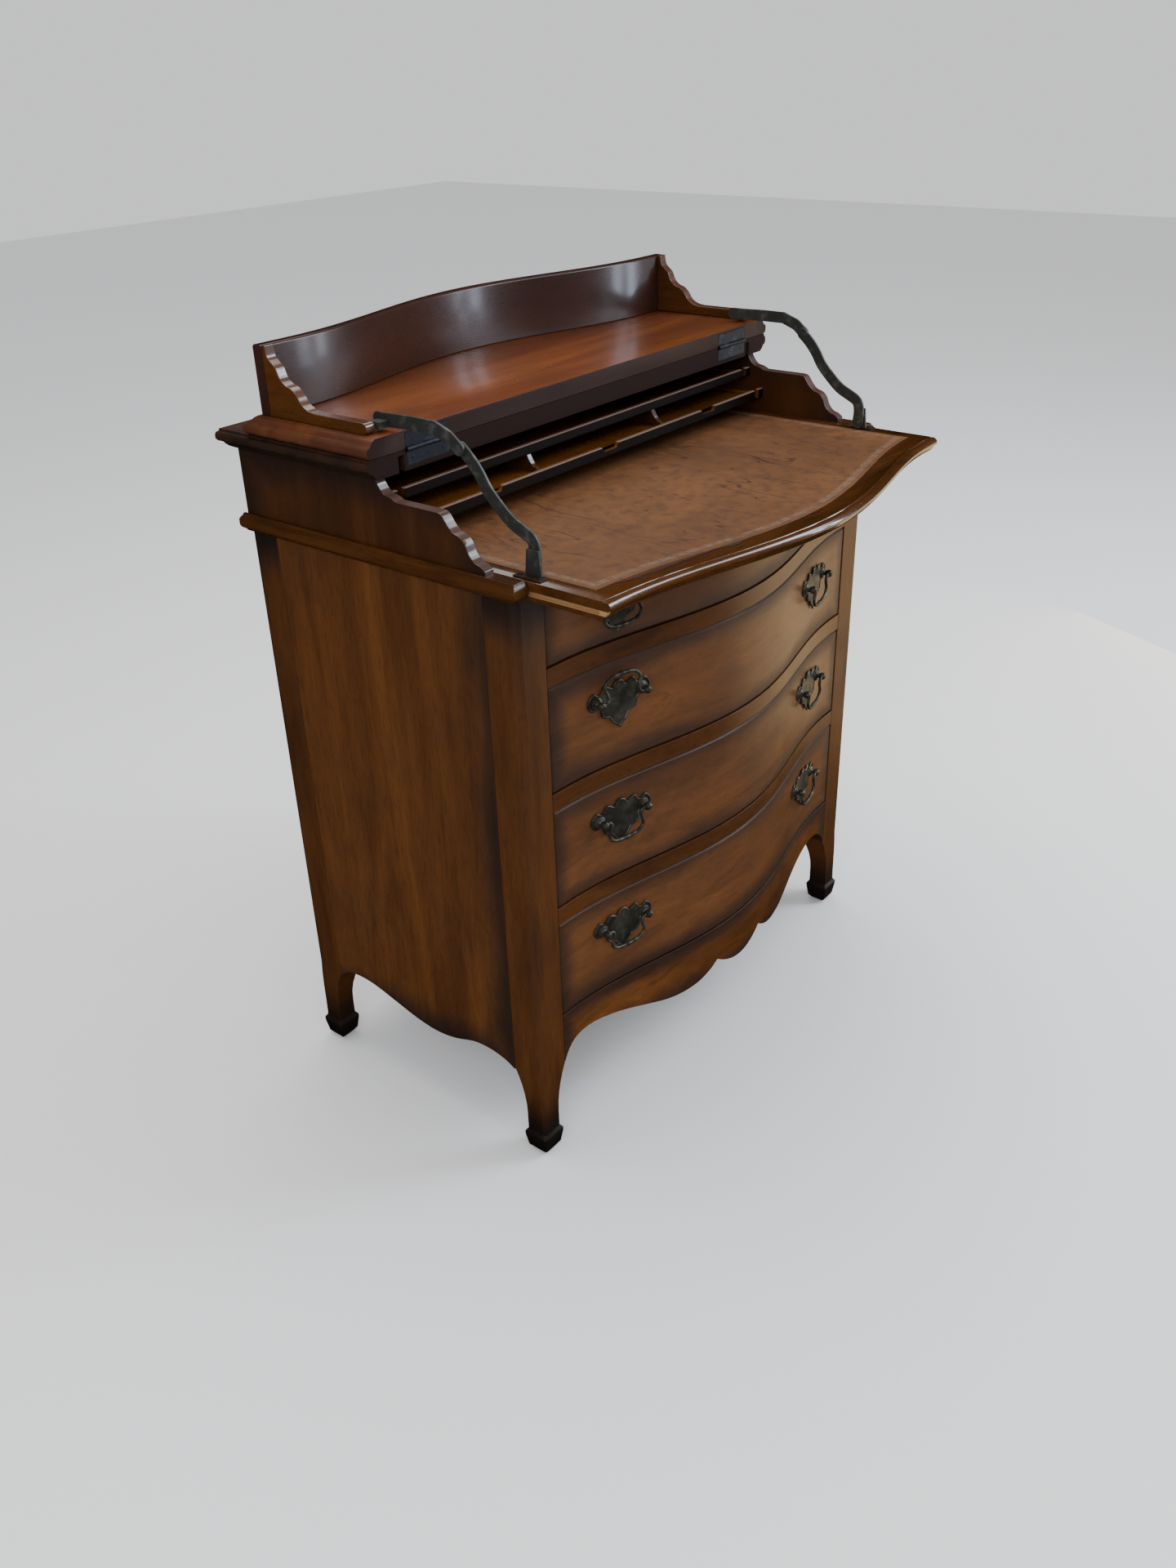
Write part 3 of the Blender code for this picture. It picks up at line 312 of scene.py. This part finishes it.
def plain_wood(name, color, seed, along="x"):
    """Unpolished secondary wood of drawer boxes and the back: long soft bands and open fibre."""
    finish = Finish(name, specular=0.25)
    run = GRAIN_RUN[along]
    fibre = finish.grain(scaled(run, 34.0), (seed, 0.0, seed), detail=4.0, rough=0.7)
    pores = finish.grain(scaled(run, 120.0), (seed, 0.3, seed), detail=2.0)
    bands = finish.grain(scaled(run, 5.0), (seed, 0.0, seed), detail=3.0, rough=0.6, distortion=0.3)
    dark = scaled(color, 0.55)
    tint = finish.mix(bands.rise(0.35, 0.65) * 0.35, color, dark)
    tint = finish.mix(fibre.rise(0.42, 0.75) * 0.45, tint, dark)
    tint = finish.mix(pores.rise(0.58, 0.72) * 0.35, tint, scaled(color, 0.3))
    return finish.paint(tint, 0.55 + fibre * 0.15, fibre + pores * 0.4, 0.00008)


# ---- metal and leather -----------------------------------------------------------------------
def dark_steel(name, color, wear, metallic, stained_below=None):
    """Blackened steel with rubbed, slightly brighter spots and fine scratches."""
    finish = Finish(name, metallic=metallic)
    spots = finish.grain((70.0, 70.0, 70.0), detail=4.0, rough=0.65)
    scratch = finish.grain((900.0, 60.0, 60.0), detail=2.0)
    tint = finish.mix(spots.rise(0.48, 0.75) * 0.7, color, wear)
    if stained_below is not None:
        stain = 1.0 - finish.z.rise(stained_below, stained_below + 0.0008)
        tint = finish.mix(stain * 0.85, tint, (0.050, 0.020, 0.010))
    rough = 0.40 + spots * 0.18 + scratch * 0.06
    return finish.paint(tint, rough, spots + scratch * 0.4, 0.00005)


def antique_bronze(name):
    """Cast bronze, mottled with darker and lighter patches at random."""
    finish = Finish(name, metallic=0.8)
    cast = finish.grain((260.0, 260.0, 260.0), detail=3.0, rough=0.6)
    blotch = finish.grain((60.0, 60.0, 60.0), detail=3.0, rough=0.6)
    tint = finish.mix(blotch.rise(0.35, 0.75), (0.060, 0.057, 0.046), (0.150, 0.138, 0.105))
    tint = finish.mix(cast.rise(0.5, 0.8) * 0.5, tint, (0.018, 0.016, 0.014))
    return finish.paint(tint, 0.34 + cast * 0.22, cast * 0.6 + blotch * 0.4, 0.00014)


# Pulled wrinkles in the hide: the turn of each set in radians, its seed and its line width.
WRINKLES = ((0.5, 3.1, 0.013), (-0.3, 7.7, 0.012), (1.1, 5.3, 0.011))
TOOLING_PITCH = 700.0      # radians per metre of the tooled pattern


def inlay_leather(name, half, front_corner, swell, board_half):
    """Brown hide with cloudy dye, pulled wrinkles and a tarnished tooled band inside its edge."""
    finish = Finish(name, coat_roughness=0.3, specular=0.35)
    wave = (finish.x * (math.pi / board_half)).operate("COSINE")
    front_edge = (wave + 1.0) * (-swell / 2) + front_corner
    inward = (finish.y - front_edge).least(half - abs(finish.x))
    cloud = finish.grain((6.0, 6.0, 6.0), detail=5.0, rough=0.6, distortion=0.3)
    fine = finish.grain((55.0, 55.0, 55.0), detail=4.0, rough=0.7)
    hide = finish.add("ShaderNodeTexVoronoi", Vector=finish.place, Scale=620.0)
    color = finish.mix(cloud.rise(0.25, 0.75) * 0.7, (0.104, 0.042, 0.0145), (0.196, 0.080, 0.0265))
    color = finish.mix(fine.rise(0.42, 0.70) * 0.60, color, (0.062, 0.026, 0.012))
    folds = None
    for turn, seed, width in WRINKLES:
        pull = finish.grain((26.0, 4.5, 1.0), (seed, 0.4, 0.0), 1.5, 0.5, 0.25, turn)
        line = 1.0 - abs(pull - 0.5).rise(0.0, width)
        where = finish.grain((7.0, 7.0, 1.0), (seed, 2.0, 0.0), detail=1.5).rise(0.42, 0.62)
        folds = line * where if folds is None else folds.most(line * where)
    crease = folds * inward.rise(0.02, 0.05)
    # painted shade: the creases are darkened in colour
    color = finish.mix(crease * 0.75, color, (0.040, 0.0165, 0.0075))
    band = inward.rise(0.0045, 0.0060) * (1.0 - inward.rise(0.0125, 0.0140))
    worn = finish.grain((120.0, 120.0, 1.0), detail=4.0, rough=0.8).rise(0.34, 0.60)
    scroll = (((finish.x + finish.y) * TOOLING_PITCH).operate("SINE")
              * ((finish.x - finish.y) * TOOLING_PITCH).operate("SINE"))
    tooled = band * (0.45 + scroll.rise(-0.2, 0.5) * 0.55) * worn
    color = finish.mix(tooled * 0.60, color, (0.190, 0.158, 0.125))
    relief = hide * 0.30 + fine * 0.35 - crease * 1.1 - band * 0.5 + band * scroll * 0.5
    rough = 0.42 + fine * 0.14 - crease * 0.05
    return finish.paint(color, rough, relief, 0.00022, coat=0.12)


# ---- mesh tools ------------------------------------------------------------------------------
WELD = 1e-6                        # metres
FLAT_ANGLE = math.radians(0.4)     # faces closer than this to one plane become one face


def new_piece(name, bm, body, material, smooth=38):
    mesh = bpy.data.meshes.new(name)
    bm.to_mesh(mesh)
    bm.free()
    mesh.shade_smooth()
    mesh.set_sharp_from_angle(angle=math.radians(smooth))
    mesh.materials.append(material)
    piece = bpy.data.objects.new(name, mesh)
    bpy.context.scene.collection.objects.link(piece)
    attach(piece, body)
    return piece


def skin(rings):
    """A closed body over a row of rings that have the same number of points."""
    bm = bmesh.new()
    loops = [[bm.verts.new(point) for point in ring] for ring in rings]
    count = len(rings[0])
    for near, far in zip(loops[:-1], loops[1:]):
        for i in range(count):
            j = (i + 1) % count
            bm.faces.new((near[i], near[j], far[j], far[i]))
    bm.faces.new(loops[0])
    bm.faces.new(reversed(loops[-1]))
    bmesh.ops.recalc_face_normals(bm, faces=bm.faces)
    return bm


def merge(*parts):
    """One bmesh from several."""
    whole = bmesh.new()
    for part in parts:
        mesh = bpy.data.meshes.new("part")
        part.to_mesh(mesh)
        part.free()
        whole.from_mesh(mesh)
        bpy.data.meshes.remove(mesh)
    return whole


def flow(points, steps):
    """A smooth curve through the points."""
    ends = [points[0], *points, points[-1]]
    curve = []
    for i in range(len(points) - 1):
        a, b, c, d = (Vector(p) for p in ends[i:i + 4])
        for k in range(steps):
            t = k / steps
            curve.append(0.5 * ((2 * b) + (c - a) * t + (2 * a - 5 * b + 4 * c - d) * t ** 2
                                + (3 * b - a - 3 * c + d) * t ** 3))
    curve.append(Vector(points[-1]))
    return curve


def full_turn(sides):
    return [2 * math.pi * k / sides for k in range(sides)]


def turned(profile, sides=20):
    """A turned piece about its own Y axis from (y, radius) points."""
    return skin([[Vector((radius * math.cos(a), y, radius * math.sin(a))) for a in full_turn(sides)]
                 for y, radius in profile])


def tube(line, radii, sides=14):
    """A round bar along a planar centre line in XZ."""
    rings = []
    side = Vector((0, 1, 0))
    for i, (centre, radius) in enumerate(zip(line, radii)):
        along = (line[min(i + 1, len(line) - 1)] - line[max(i - 1, 0)]).normalized()
        across = side.cross(along).normalized()
        rings.append([centre + (across * math.cos(a) + side * math.sin(a)) * radius
                      for a in full_turn(sides)])
    return skin(rings)


def eased(node, material, width=0.0009, segments=2, angle=28, smooth=34):
    """The node's own shape with its sharp edges rounded over, as a new piece on the same body."""
    source = frame["nodes"][node]
    bm = bmesh.new()
    bm.from_mesh(source.data)
    bmesh.ops.remove_doubles(bm, verts=bm.verts, dist=WELD)
    bmesh.ops.dissolve_limit(bm, angle_limit=FLAT_ANGLE, verts=bm.verts, edges=bm.edges)
    piece = new_piece(node + "_finish", bm, source["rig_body"], material, smooth)
    step = piece.modifiers.new("eased_edges", "BEVEL")
    step.width = width
    step.segments = segments
    step.limit_method = "ANGLE"
    step.angle_limit = math.radians(angle)
    step.use_clamp_overlap = True
    step.harden_normals = True
    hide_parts(node)
    return piece


# ---- wooden pieces ---------------------------------------------------------------------------
WAIST_LINE = 0.745         # height above which the case sides are darker: a darker tone outside and painted shade inside
FOOT_DARK_TOP = 0.11       # height where the black of the feet has faded out
BOX_WOOD = (0.27, 0.150, 0.070)
BACK_WOOD = (0.115, 0.055, 0.024)
FADED_FRONT = (0.15, (0.125, 0.070, 0.045))
RED_LID = (0.35, (0.235, 0.058, 0.030))
PLUM_GALLERY = (0.3, (0.060, 0.024, 0.023))


def side_pieces():
    calm = {"streak": 0.7, "figuring": 0.22, "coat_blur": 0.10}
    for word in SIDES:
        side = f"side_{word}"
        # the side darkens towards its box edges: painted shade in the cove by the front post and
        # along its edges
        wood = mahogany(f"wood_{side}", "z", gloss=0.33, seed=1.3, box=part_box(side), axes="yz",
                        margin=0.055, dark=0.80, edge_polish=0.9, dusk=WAIST_LINE, polish=0.08,
                        **calm)
        eased(side, wood, 0.0010)
        for place, tone, seed in (("front", 0.80, 4.2), ("rear", 0.72, 6.1)):
            post = f"post_{place}_{word}"
            # a post darkens at both ends: painted shadow under the board at its top, and darker
            # towards the floor
            wood = mahogany(f"wood_{post}", "z", tone, gloss=0.33, seed=seed, box=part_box(post),
                            axes="z", margin=0.07, dark=0.85, foot=FOOT_DARK_TOP, polish=0.0,
                            **calm)
            eased(post, wood, 0.0010)
        waist = mahogany(f"wood_waist_{word}", "y", 0.55, gloss=0.25, seed=8.4)
        eased(f"waist_moulding_{word}", waist, 0.0006, angle=50, smooth=50)


def front_pieces():
    for i in range(1, 5):
        front = f"drawer_front_{i}"
        wood = mahogany(f"wood_{front}", "x", 1.15, 0.92, gloss=0.29, seed=2.3 * i,
                        box=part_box(front), axes="xz", margin=0.032, dark=0.66, streak=0.9,
                        tinge=FADED_FRONT)
        eased(front, wood, 0.0003, segments=1, smooth=40)
        box_wood = plain_wood(f"wood_drawer_box_{i}", BOX_WOOD, 1.9 * i, "y")
        eased(f"drawer_box_{i}", box_wood, 0.0008)
        rail = mahogany(f"wood_rail_{i}", "x", 0.78, 0.9, gloss=0.28, seed=3.1 * i)
        eased(f"dust_board_{i}", rail, 0.0004, smooth=40)
    apron = mahogany("wood_apron", "x", 1.1, 0.92, gloss=0.29, seed=5.7,
                     box=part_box("apron_front"), axes="xz", margin=0.028)
    eased("apron_front", apron, 0.0009, smooth=40)
    frame_wood = mahogany("wood_frame", "x", 0.6, 0.9, gloss=0.35, seed=9.1)
    eased("top_frame", frame_wood, 0.0005, smooth=40)
    eased("back_panel", plain_wood("wood_back", BACK_WOOD, 4.4, "z"), 0.0006)


def top_pieces():
    top = mahogany("wood_top", "x", 0.66, 1.05, gloss=0.42, seed=1.1, box=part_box("top_board"),
                   axes="xy", margin=0.03, dark=0.6, shaded_front=0.95)
    eased("top_board", top, 0.0005, angle=50, smooth=50)
    lid = mahogany("wood_lid", "x", 1.15, 1.35, gloss=0.20, seed=7.7, box=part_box("lid_board"),
                   axes="x", dark=0.6, streak=1.2, polish=0.5, shaded_front=0.92, tinge=RED_LID)
    eased("lid_board", lid, 0.0005, angle=50, smooth=50)
    gallery = mahogany("wood_gallery", "x", 0.32, 0.8, gloss=0.24, seed=3.9, streak=0.6,
                       polish=0.42, coat_blur=0.14, grain_depth=0.000006, tinge=PLUM_GALLERY)
    eased("gallery_back", gallery, 0.0008, smooth=40)
    for word in SIDES:
        wood = mahogany(f"wood_gallery_{word}", "y", 0.60, gloss=0.22, seed=2.8, polish=0.15,
                        edge_polish=1.0, coat_blur=0.10)
        eased(f"gallery_side_{word}", wood, 0.0011, segments=3)


def fitting_pieces():
    for node, word, tone, warmth, seed in (("tray_shelf", "tray", 1.15, 1.15, 6.6),
                                           ("upper_shelf", "shelf", 0.75, 1.0, 3.3)):
        wood = mahogany(f"wood_{word}", "x", tone, warmth, gloss=0.22, seed=seed, polish=1.0,
                        shaded_front=0.96, coat_blur=0.10, specular=0.10, shade=SHELF_SHADOW,
                        lip_highlight_top=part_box(node)[1].z)
        eased(node, wood, 0.0016, segments=3)
    ogee = mahogany("wood_divider", "z", 0.5, gloss=0.22, seed=1.7, polish=1.0, coat_blur=0.10)
    for word in SIDES:
        eased(f"divider_{word}", ogee, 0.0016, segments=3)


# ---- writing board and leather ---------------------------------------------------------------
RUNNER_BAND = (0.745, 0.750, 0.3415)     # lowest and highest level, and distance from the middle


def writing_pieces():
    wood = mahogany("wood_writing", "x", 0.62, 0.95, gloss=0.20, seed=5.2, polish=1.0,
                    coat_blur=0.10, raw_band=RUNNER_BAND)
    eased("writing_board", wood, 0.0003, segments=1, angle=60, smooth=45)
    low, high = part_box("leather")
    half = high.x
    board_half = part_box("writing_board")[1].x
    hide_mesh = frame["nodes"]["leather"].data
    corner = min(v.co.y for v in hide_mesh.vertices if abs(abs(v.co.x) - half) < 1e-4)
    edge_wave = 1 + math.cos(math.pi * half / board_half)
    swell = 2 * (corner - low.y) / (2 - edge_wave)
    hide = inlay_leather("writing_leather", half, low.y + swell, swell, board_half)
    eased("leather", hide, 0.0004)


# ---- steel -----------------------------------------------------------------------------------
ARM_THICKNESS = 0.003
ARM_HALF_WIDTH = 0.007
FOOT_PLATE = 0.0014
ARM_STEEL = ((0.075, 0.078, 0.070), (0.22, 0.22, 0.20), 0.75)
HINGE_STEEL = ((0.030, 0.032, 0.037), (0.105, 0.110, 0.120), 0.9)
HINGE_SCREW_PLACES = (0.14, 0.5, 0.86)   # shares of the leaf's length
HINGE_SCREW_SHIFT = 0.0022               # from the middle of the leaf's box, away from the knuckle
HINGE_SCREW = (0.0023, 0.0005)           # radius and height
HINGE_SCREW_SINK = 0.00035               # countersunk, so that the leaves can close on each other
FOOT_SCREW = (0.0028, 0.0012)
FOOT_SCREW_INSET = (0.0060, 0.005)       # from the plate's outer side, and from its ends
FOOT_RIVET_RADIUS = 0.0036
BRACKET_RIVET_RADIUS = 0.0034
# A screw head's shares of its height and radius, and half its slot's width as a share of radius.
SCREW_SHAPE = ((0.0, 1.0), (-0.35, 1.0), (-0.75, 0.86), (-1.0, 0.55))
SLOT_SHARE = 0.13


def arm_pieces():
    steel = dark_steel("arm_steel", *ARM_STEEL)
    bright = dark_steel("hinge_steel", *HINGE_STEEL)
    foot_steel = dark_steel("arm_foot_steel", *ARM_STEEL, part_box("arm_foot_left")[0].z + FOOT_PLATE)
    for word in SIDES:
        for node in (f"arm_{word}", f"arm_bracket_{word}"):
            eased(node, steel, 0.0005)
        eased(f"arm_foot_{word}", foot_steel, 0.0004)
        for node in (f"hinge_leaf_case_{word}", f"hinge_leaf_lid_{word}"):
            eased(node, bright, 0.0002, segments=1)
    return steel, bright


def screw(radius, height, slot_turn):
    """A slotted screw head facing -Y, as two halves on a common base."""
    gap = radius * SLOT_SHARE
    parts = [turned(((0.0, radius * 0.98), (-height * 0.4, radius * 0.98)), 18)]
    for half in (0, 1):
        rings = []
        for rise, reach in SCREW_SHAPE:
            r = radius * reach
            start = math.asin(min(gap / r, 1.0))
            turns = [start + (math.pi - 2 * start) * k / 9 + half * math.pi for k in range(10)]
            rings.append([Vector((r * math.cos(a), height * rise, r * math.sin(a))) for a in turns])
        parts.append(skin(rings))
    bm = merge(*parts)
    bmesh.ops.rotate(bm, verts=bm.verts, matrix=Matrix.Rotation(slot_turn, 3, "Y"))
    return bm


def turned_to(direction, place):
    """A matrix that turns a piece modelled along -Y to face the direction, at the place."""
    away = -Vector(direction).normalized()
    turn = Vector((0, 1, 0)).rotation_difference(away).to_matrix().to_4x4()
    return Matrix.Translation(place) @ turn


def fasteners(name, body, material, spots, direction, size):
    """Screws at the spots, each with its slot at another angle."""
    parts = []
    for i, spot in enumerate(spots):
        bm = screw(*size, 0.7 + 1.9 * i)
        bm.transform(turned_to(direction, Vector(spot)))
        parts.append(bm)
    return new_piece(name, merge(*parts), body, material)


def rivet(name, body, material, place, direction, radius):
    profile = ((0.0005, radius), (-0.0002, radius), (-0.0005, radius * 0.8),
               (-0.0007, radius * 0.4))
    bm = turned(profile, 18)
    bm.transform(turned_to(direction, Vector(place)))
    return new_piece(name, bm, body, material)


def leaf_face(node):
    """Y of a hinge leaf's flat front face: the level where most of its forward area lies."""
    areas = {}
    for polygon in frame["nodes"][node].data.polygons:
        if polygon.normal.y < -0.99:
            level = round(polygon.center.y, 5)
            areas[level] = areas.get(level, 0.0) + polygon.area
    return max(areas, key=areas.get)


def hardware(steel, bright):
    """Screws and rivets of the hinges and the arms."""
    for word, side in zip(SIDES, (-1, 1)):
        for body, shift in (("case", -HINGE_SCREW_SHIFT), ("lid", HINGE_SCREW_SHIFT)):
            leaf = f"hinge_leaf_{body}_{word}"
            low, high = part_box(leaf)
            level = (low.z + high.z) / 2 + shift
            face = leaf_face(leaf) + HINGE_SCREW_SINK
            span = high.x - low.x
            spots = [(low.x + span * share, face, level) for share in HINGE_SCREW_PLACES]
            fasteners(f"hinge_screws_{body}_{word}", body, bright, spots, (0, -1, 0), HINGE_SCREW)
        low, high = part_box(f"arm_foot_{word}")
        x = (high.x if side > 0 else low.x) - side * FOOT_SCREW_INSET[0]
        top = low.z + FOOT_PLATE
        spots = [(x, low.y + FOOT_SCREW_INSET[1], top), (x, high.y - FOOT_SCREW_INSET[1], top)]
        fasteners(f"arm_foot_screws_{word}", "writing_board", bright, spots, (0, 0, 1), FOOT_SCREW)
        pivot = Vector(JOINTS[f"arm_pivot_{word}"]["pos_m"])
        low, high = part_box(f"arm_{word}")
        place = (low.x if side > 0 else high.x, pivot.y, pivot.z)
        rivet(f"arm_foot_rivet_{word}", f"arm_{word}", steel, place, (-side, 0, 0),
              FOOT_RIVET_RADIUS)
        low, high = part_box(f"arm_bracket_{word}")
        face = (low.x if side > 0 else high.x) + side * ARM_THICKNESS
        place = (face, low.y + ARM_HALF_WIDTH, low.z + ARM_HALF_WIDTH)
        rivet(f"arm_bracket_rivet_{word}", "lid", steel, place, (side, 0, 0),
              BRACKET_RIVET_RADIUS)


# ---- pulls -----------------------------------------------------------------------------------
PLATE_THICKNESS = 0.002
POST_REACH = 0.0085
BORING_HALF = 0.033
BAIL_RADIUS = 0.0022
BAIL_RAISED = 189.0        # degrees, for the bail that is turned up at rest
BAIL_GRIP = -0.02          # below this level of the bail its bar is swelled
# Half of the backplate's outline, from its top down its right side to the point at its foot.
HALF_PLATE = ((0.0, 0.0195), (0.0055, 0.0175), (0.0095, 0.0120), (0.0150, 0.0150), (0.0215, 0.0165),
              (0.0250, 0.0110), (0.0300, 0.0085), (0.0360, 0.0125), (0.0420, 0.0095),
              (0.0460, 0.0015), (0.0425, -0.0070), (0.0350, -0.0095), (0.0300, -0.0065),
              (0.0265, -0.0120), (0.0255, -0.0190), (0.0200, -0.0225), (0.0145, -0.0235),
              (0.0105, -0.0305), (0.0045, -0.0350), (0.0, -0.0400))
# The plate's edge and raised rim: how far in from the outline, and the level.
RIM = ((0.0, 0.0), (0.0, -0.0012), (0.0005, -0.0018), (0.0012, -0.0021), (0.0019, -0.0019),
       (0.0024, -0.0013))
POST_AXIS = -PLATE_THICKNESS - POST_REACH
POST = ((-0.0010, 0.0078), (-0.0026, 0.0076), (-0.0036, 0.0062), (-0.0042, 0.0040),
        (-0.0058, 0.0030), (POST_AXIS + 0.0040, 0.0032), (POST_AXIS + 0.0028, 0.0044),
        (POST_AXIS, 0.0052), (POST_AXIS - 0.0030, 0.0044), (POST_AXIS - 0.0048, 0.0020))
BAIL_END = BORING_HALF - 0.0052
HALF_BAIL = ((BORING_HALF - 0.004, 0.0), (BAIL_END - 0.0030, -0.0004), (BAIL_END - 0.0055, -0.0045),
             (BAIL_END - 0.0045, -0.0105), (BAIL_END - 0.0020, -0.0165),
             (BAIL_END - 0.0035, -0.0220), (BAIL_END - 0.0085, -0.0260),
             (BAIL_END - 0.0165, -0.0282), (0.0, -0.0288))


def plate_outline(steps):
    half = flow(HALF_PLATE, steps)
    return half + [Vector((-p.x, p.y)) for p in reversed(half[1:-1])]


def inset(outline, depth):
    """The outline moved inward along its own normals, eased where it would fold over."""
    count = len(outline)
    moved = []
    for i, point in enumerate(outline):
        along = (outline[(i + 1) % count] - outline[i - 1]).normalized()
        moved.append(point + Vector((along.y, -along.x)) * depth)
    for _ in range(2):
        moved = [(moved[i - 1] + moved[i] * 2 + moved[(i + 1) % count]) / 4 for i in range(count)]
    return moved


def backplate():
    """A cast plate with a raised rim and dished middle, and two turned posts with ball ends."""
    outline = plate_outline(4)
    rings = [[Vector((p.x, y, p.y)) for p in (inset(outline, depth) if depth else outline)]
             for depth, y in RIM]
    parts = [skin(rings)]
    for end in (-1, 1):
        bm = turned(POST, 20)
        bmesh.ops.translate(bm, verts=bm.verts, vec=(end * BORING_HALF, 0, 0))
        parts.append(bm)
    return merge(*parts)


def bail():
    """A swan-neck bail with a knop at the middle and pins reaching into its posts."""
    line = [Vector((p.x, 0.0, p.y)) for p in flow(HALF_BAIL, 6)]
    line += [Vector((-p.x, 0.0, p.z)) for p in reversed(line[:-1])]
    radii = []
    for point in line:
        knop = 0.42 * math.exp(-((point.x / 0.0035) ** 2))
        beads = 0.22 * math.exp(-(((abs(point.x) - 0.010) / 0.003) ** 2))
        swell = knop + beads if point.z < BAIL_GRIP else 0.0
        radii.append(BAIL_RADIUS * (0.92 + swell))
    return tube(line, radii)


def pull_pieces():
    bronze = antique_bronze("antique_bronze")
    for i in range(1, 5):
        for word in SIDES:
            joint = JOINTS[f"bail_swing_{i}_{word}"]
            across = -Vector(joint["axis"])
            up = Vector((0, 0, 1))
            rows = Matrix((across, up.cross(across), up)).transposed().to_4x4()
            hang = Matrix.Translation(Vector(joint["pos_m"])) @ rows
            raised = BAIL_RAISED if joint["range_deg"][0] < 0 else 0.0
            swing = Matrix.Rotation(-math.radians(raised), 4, "X")
            bm = bail()
            bm.transform(hang @ swing)
            piece = new_piece(f"pull_bail_{i}_{word}", bm, f"bail_{i}_{word}", bronze, 60)
            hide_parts(f"bail_{i}_{word}")
            bm = backplate()
            bm.transform(hang @ Matrix.Translation((0, -POST_AXIS, 0)))
            piece = new_piece(f"pull_plate_{i}_{word}", bm, f"drawer_{i}", bronze, 32)
            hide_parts(f"backplate_{i}_{word}")


# ---- studio ----------------------------------------------------------------------------------
FLOOR_HALF = 9.0
ROOM_STRENGTH = 0.9
AIM = Vector((0, 0, 0.6))
# Name, place, width and height, power in watts and colour.
LAMPS = (("left_window", (-2.6, -1.6, 2.2), (1.8, 1.8), 42, (0.92, 0.96, 1.0)),
         ("ceiling", (0.2, 0.5, 2.9), (2.2, 2.2), 46, (1.0, 0.97, 0.93)),
         ("window_pane_1", (2.45, -1.98, 1.5), (0.26, 2.8), 30, (0.72, 0.84, 1.0)),
         ("window_pane_2", (2.15, -2.32, 1.5), (0.26, 2.8), 30, (0.72, 0.84, 1.0)),
         ("high_window", (2.1, -1.75, 2.95), (1.9, 1.0), 42, (0.85, 0.92, 1.0)),
         ("warm_lamp", (1.50, -0.66, 0.15), (1.4, 0.9), 5.0, (1.0, 0.74, 0.42)))


def studio():
    """A pale floor under soft lamps, in an even room that the polish doesn't mirror."""
    bm = bmesh.new()
    bmesh.ops.create_grid(bm, x_segments=2, y_segments=2, size=FLOOR_HALF)
    mesh = bpy.data.meshes.new("floor")
    bm.to_mesh(mesh)
    bm.free()
    floor = bpy.data.objects.new("floor", mesh)
    bpy.context.scene.collection.objects.link(floor)
    pale = Finish("pale_floor")
    cloud = pale.grain((2.0, 2.0, 2.0))
    tint = pale.mix(cloud, (0.86, 0.86, 0.86), (0.84, 0.84, 0.84))
    mesh.materials.append(pale.paint(tint, 0.75 + cloud * 0.1))
    floor.visible_glossy = False
    world = bpy.data.worlds.new("room")
    world.use_nodes = True
    bpy.context.scene.world = world
    air = world.node_tree.nodes["Background"].inputs
    air["Color"].default_value = (0.97, 0.98, 1.0, 1.0)
    air["Strength"].default_value = ROOM_STRENGTH
    world.cycles_visibility.glossy = False
    for name, place, size, power, color in LAMPS:
        data = bpy.data.lights.new(name, "AREA")
        data.shape = "RECTANGLE"
        data.size, data.size_y = size
        data.energy = power
        data.color = color
        lamp = bpy.data.objects.new(name, data)
        lamp.location = place
        lamp.visible_camera = False
        lamp.rotation_euler = (AIM - Vector(place)).to_track_quat("-Z", "Y").to_euler()
        bpy.context.scene.collection.objects.link(lamp)


studio()
side_pieces()
front_pieces()
top_pieces()
fitting_pieces()
writing_pieces()
hardware(*arm_pieces())
pull_pieces()
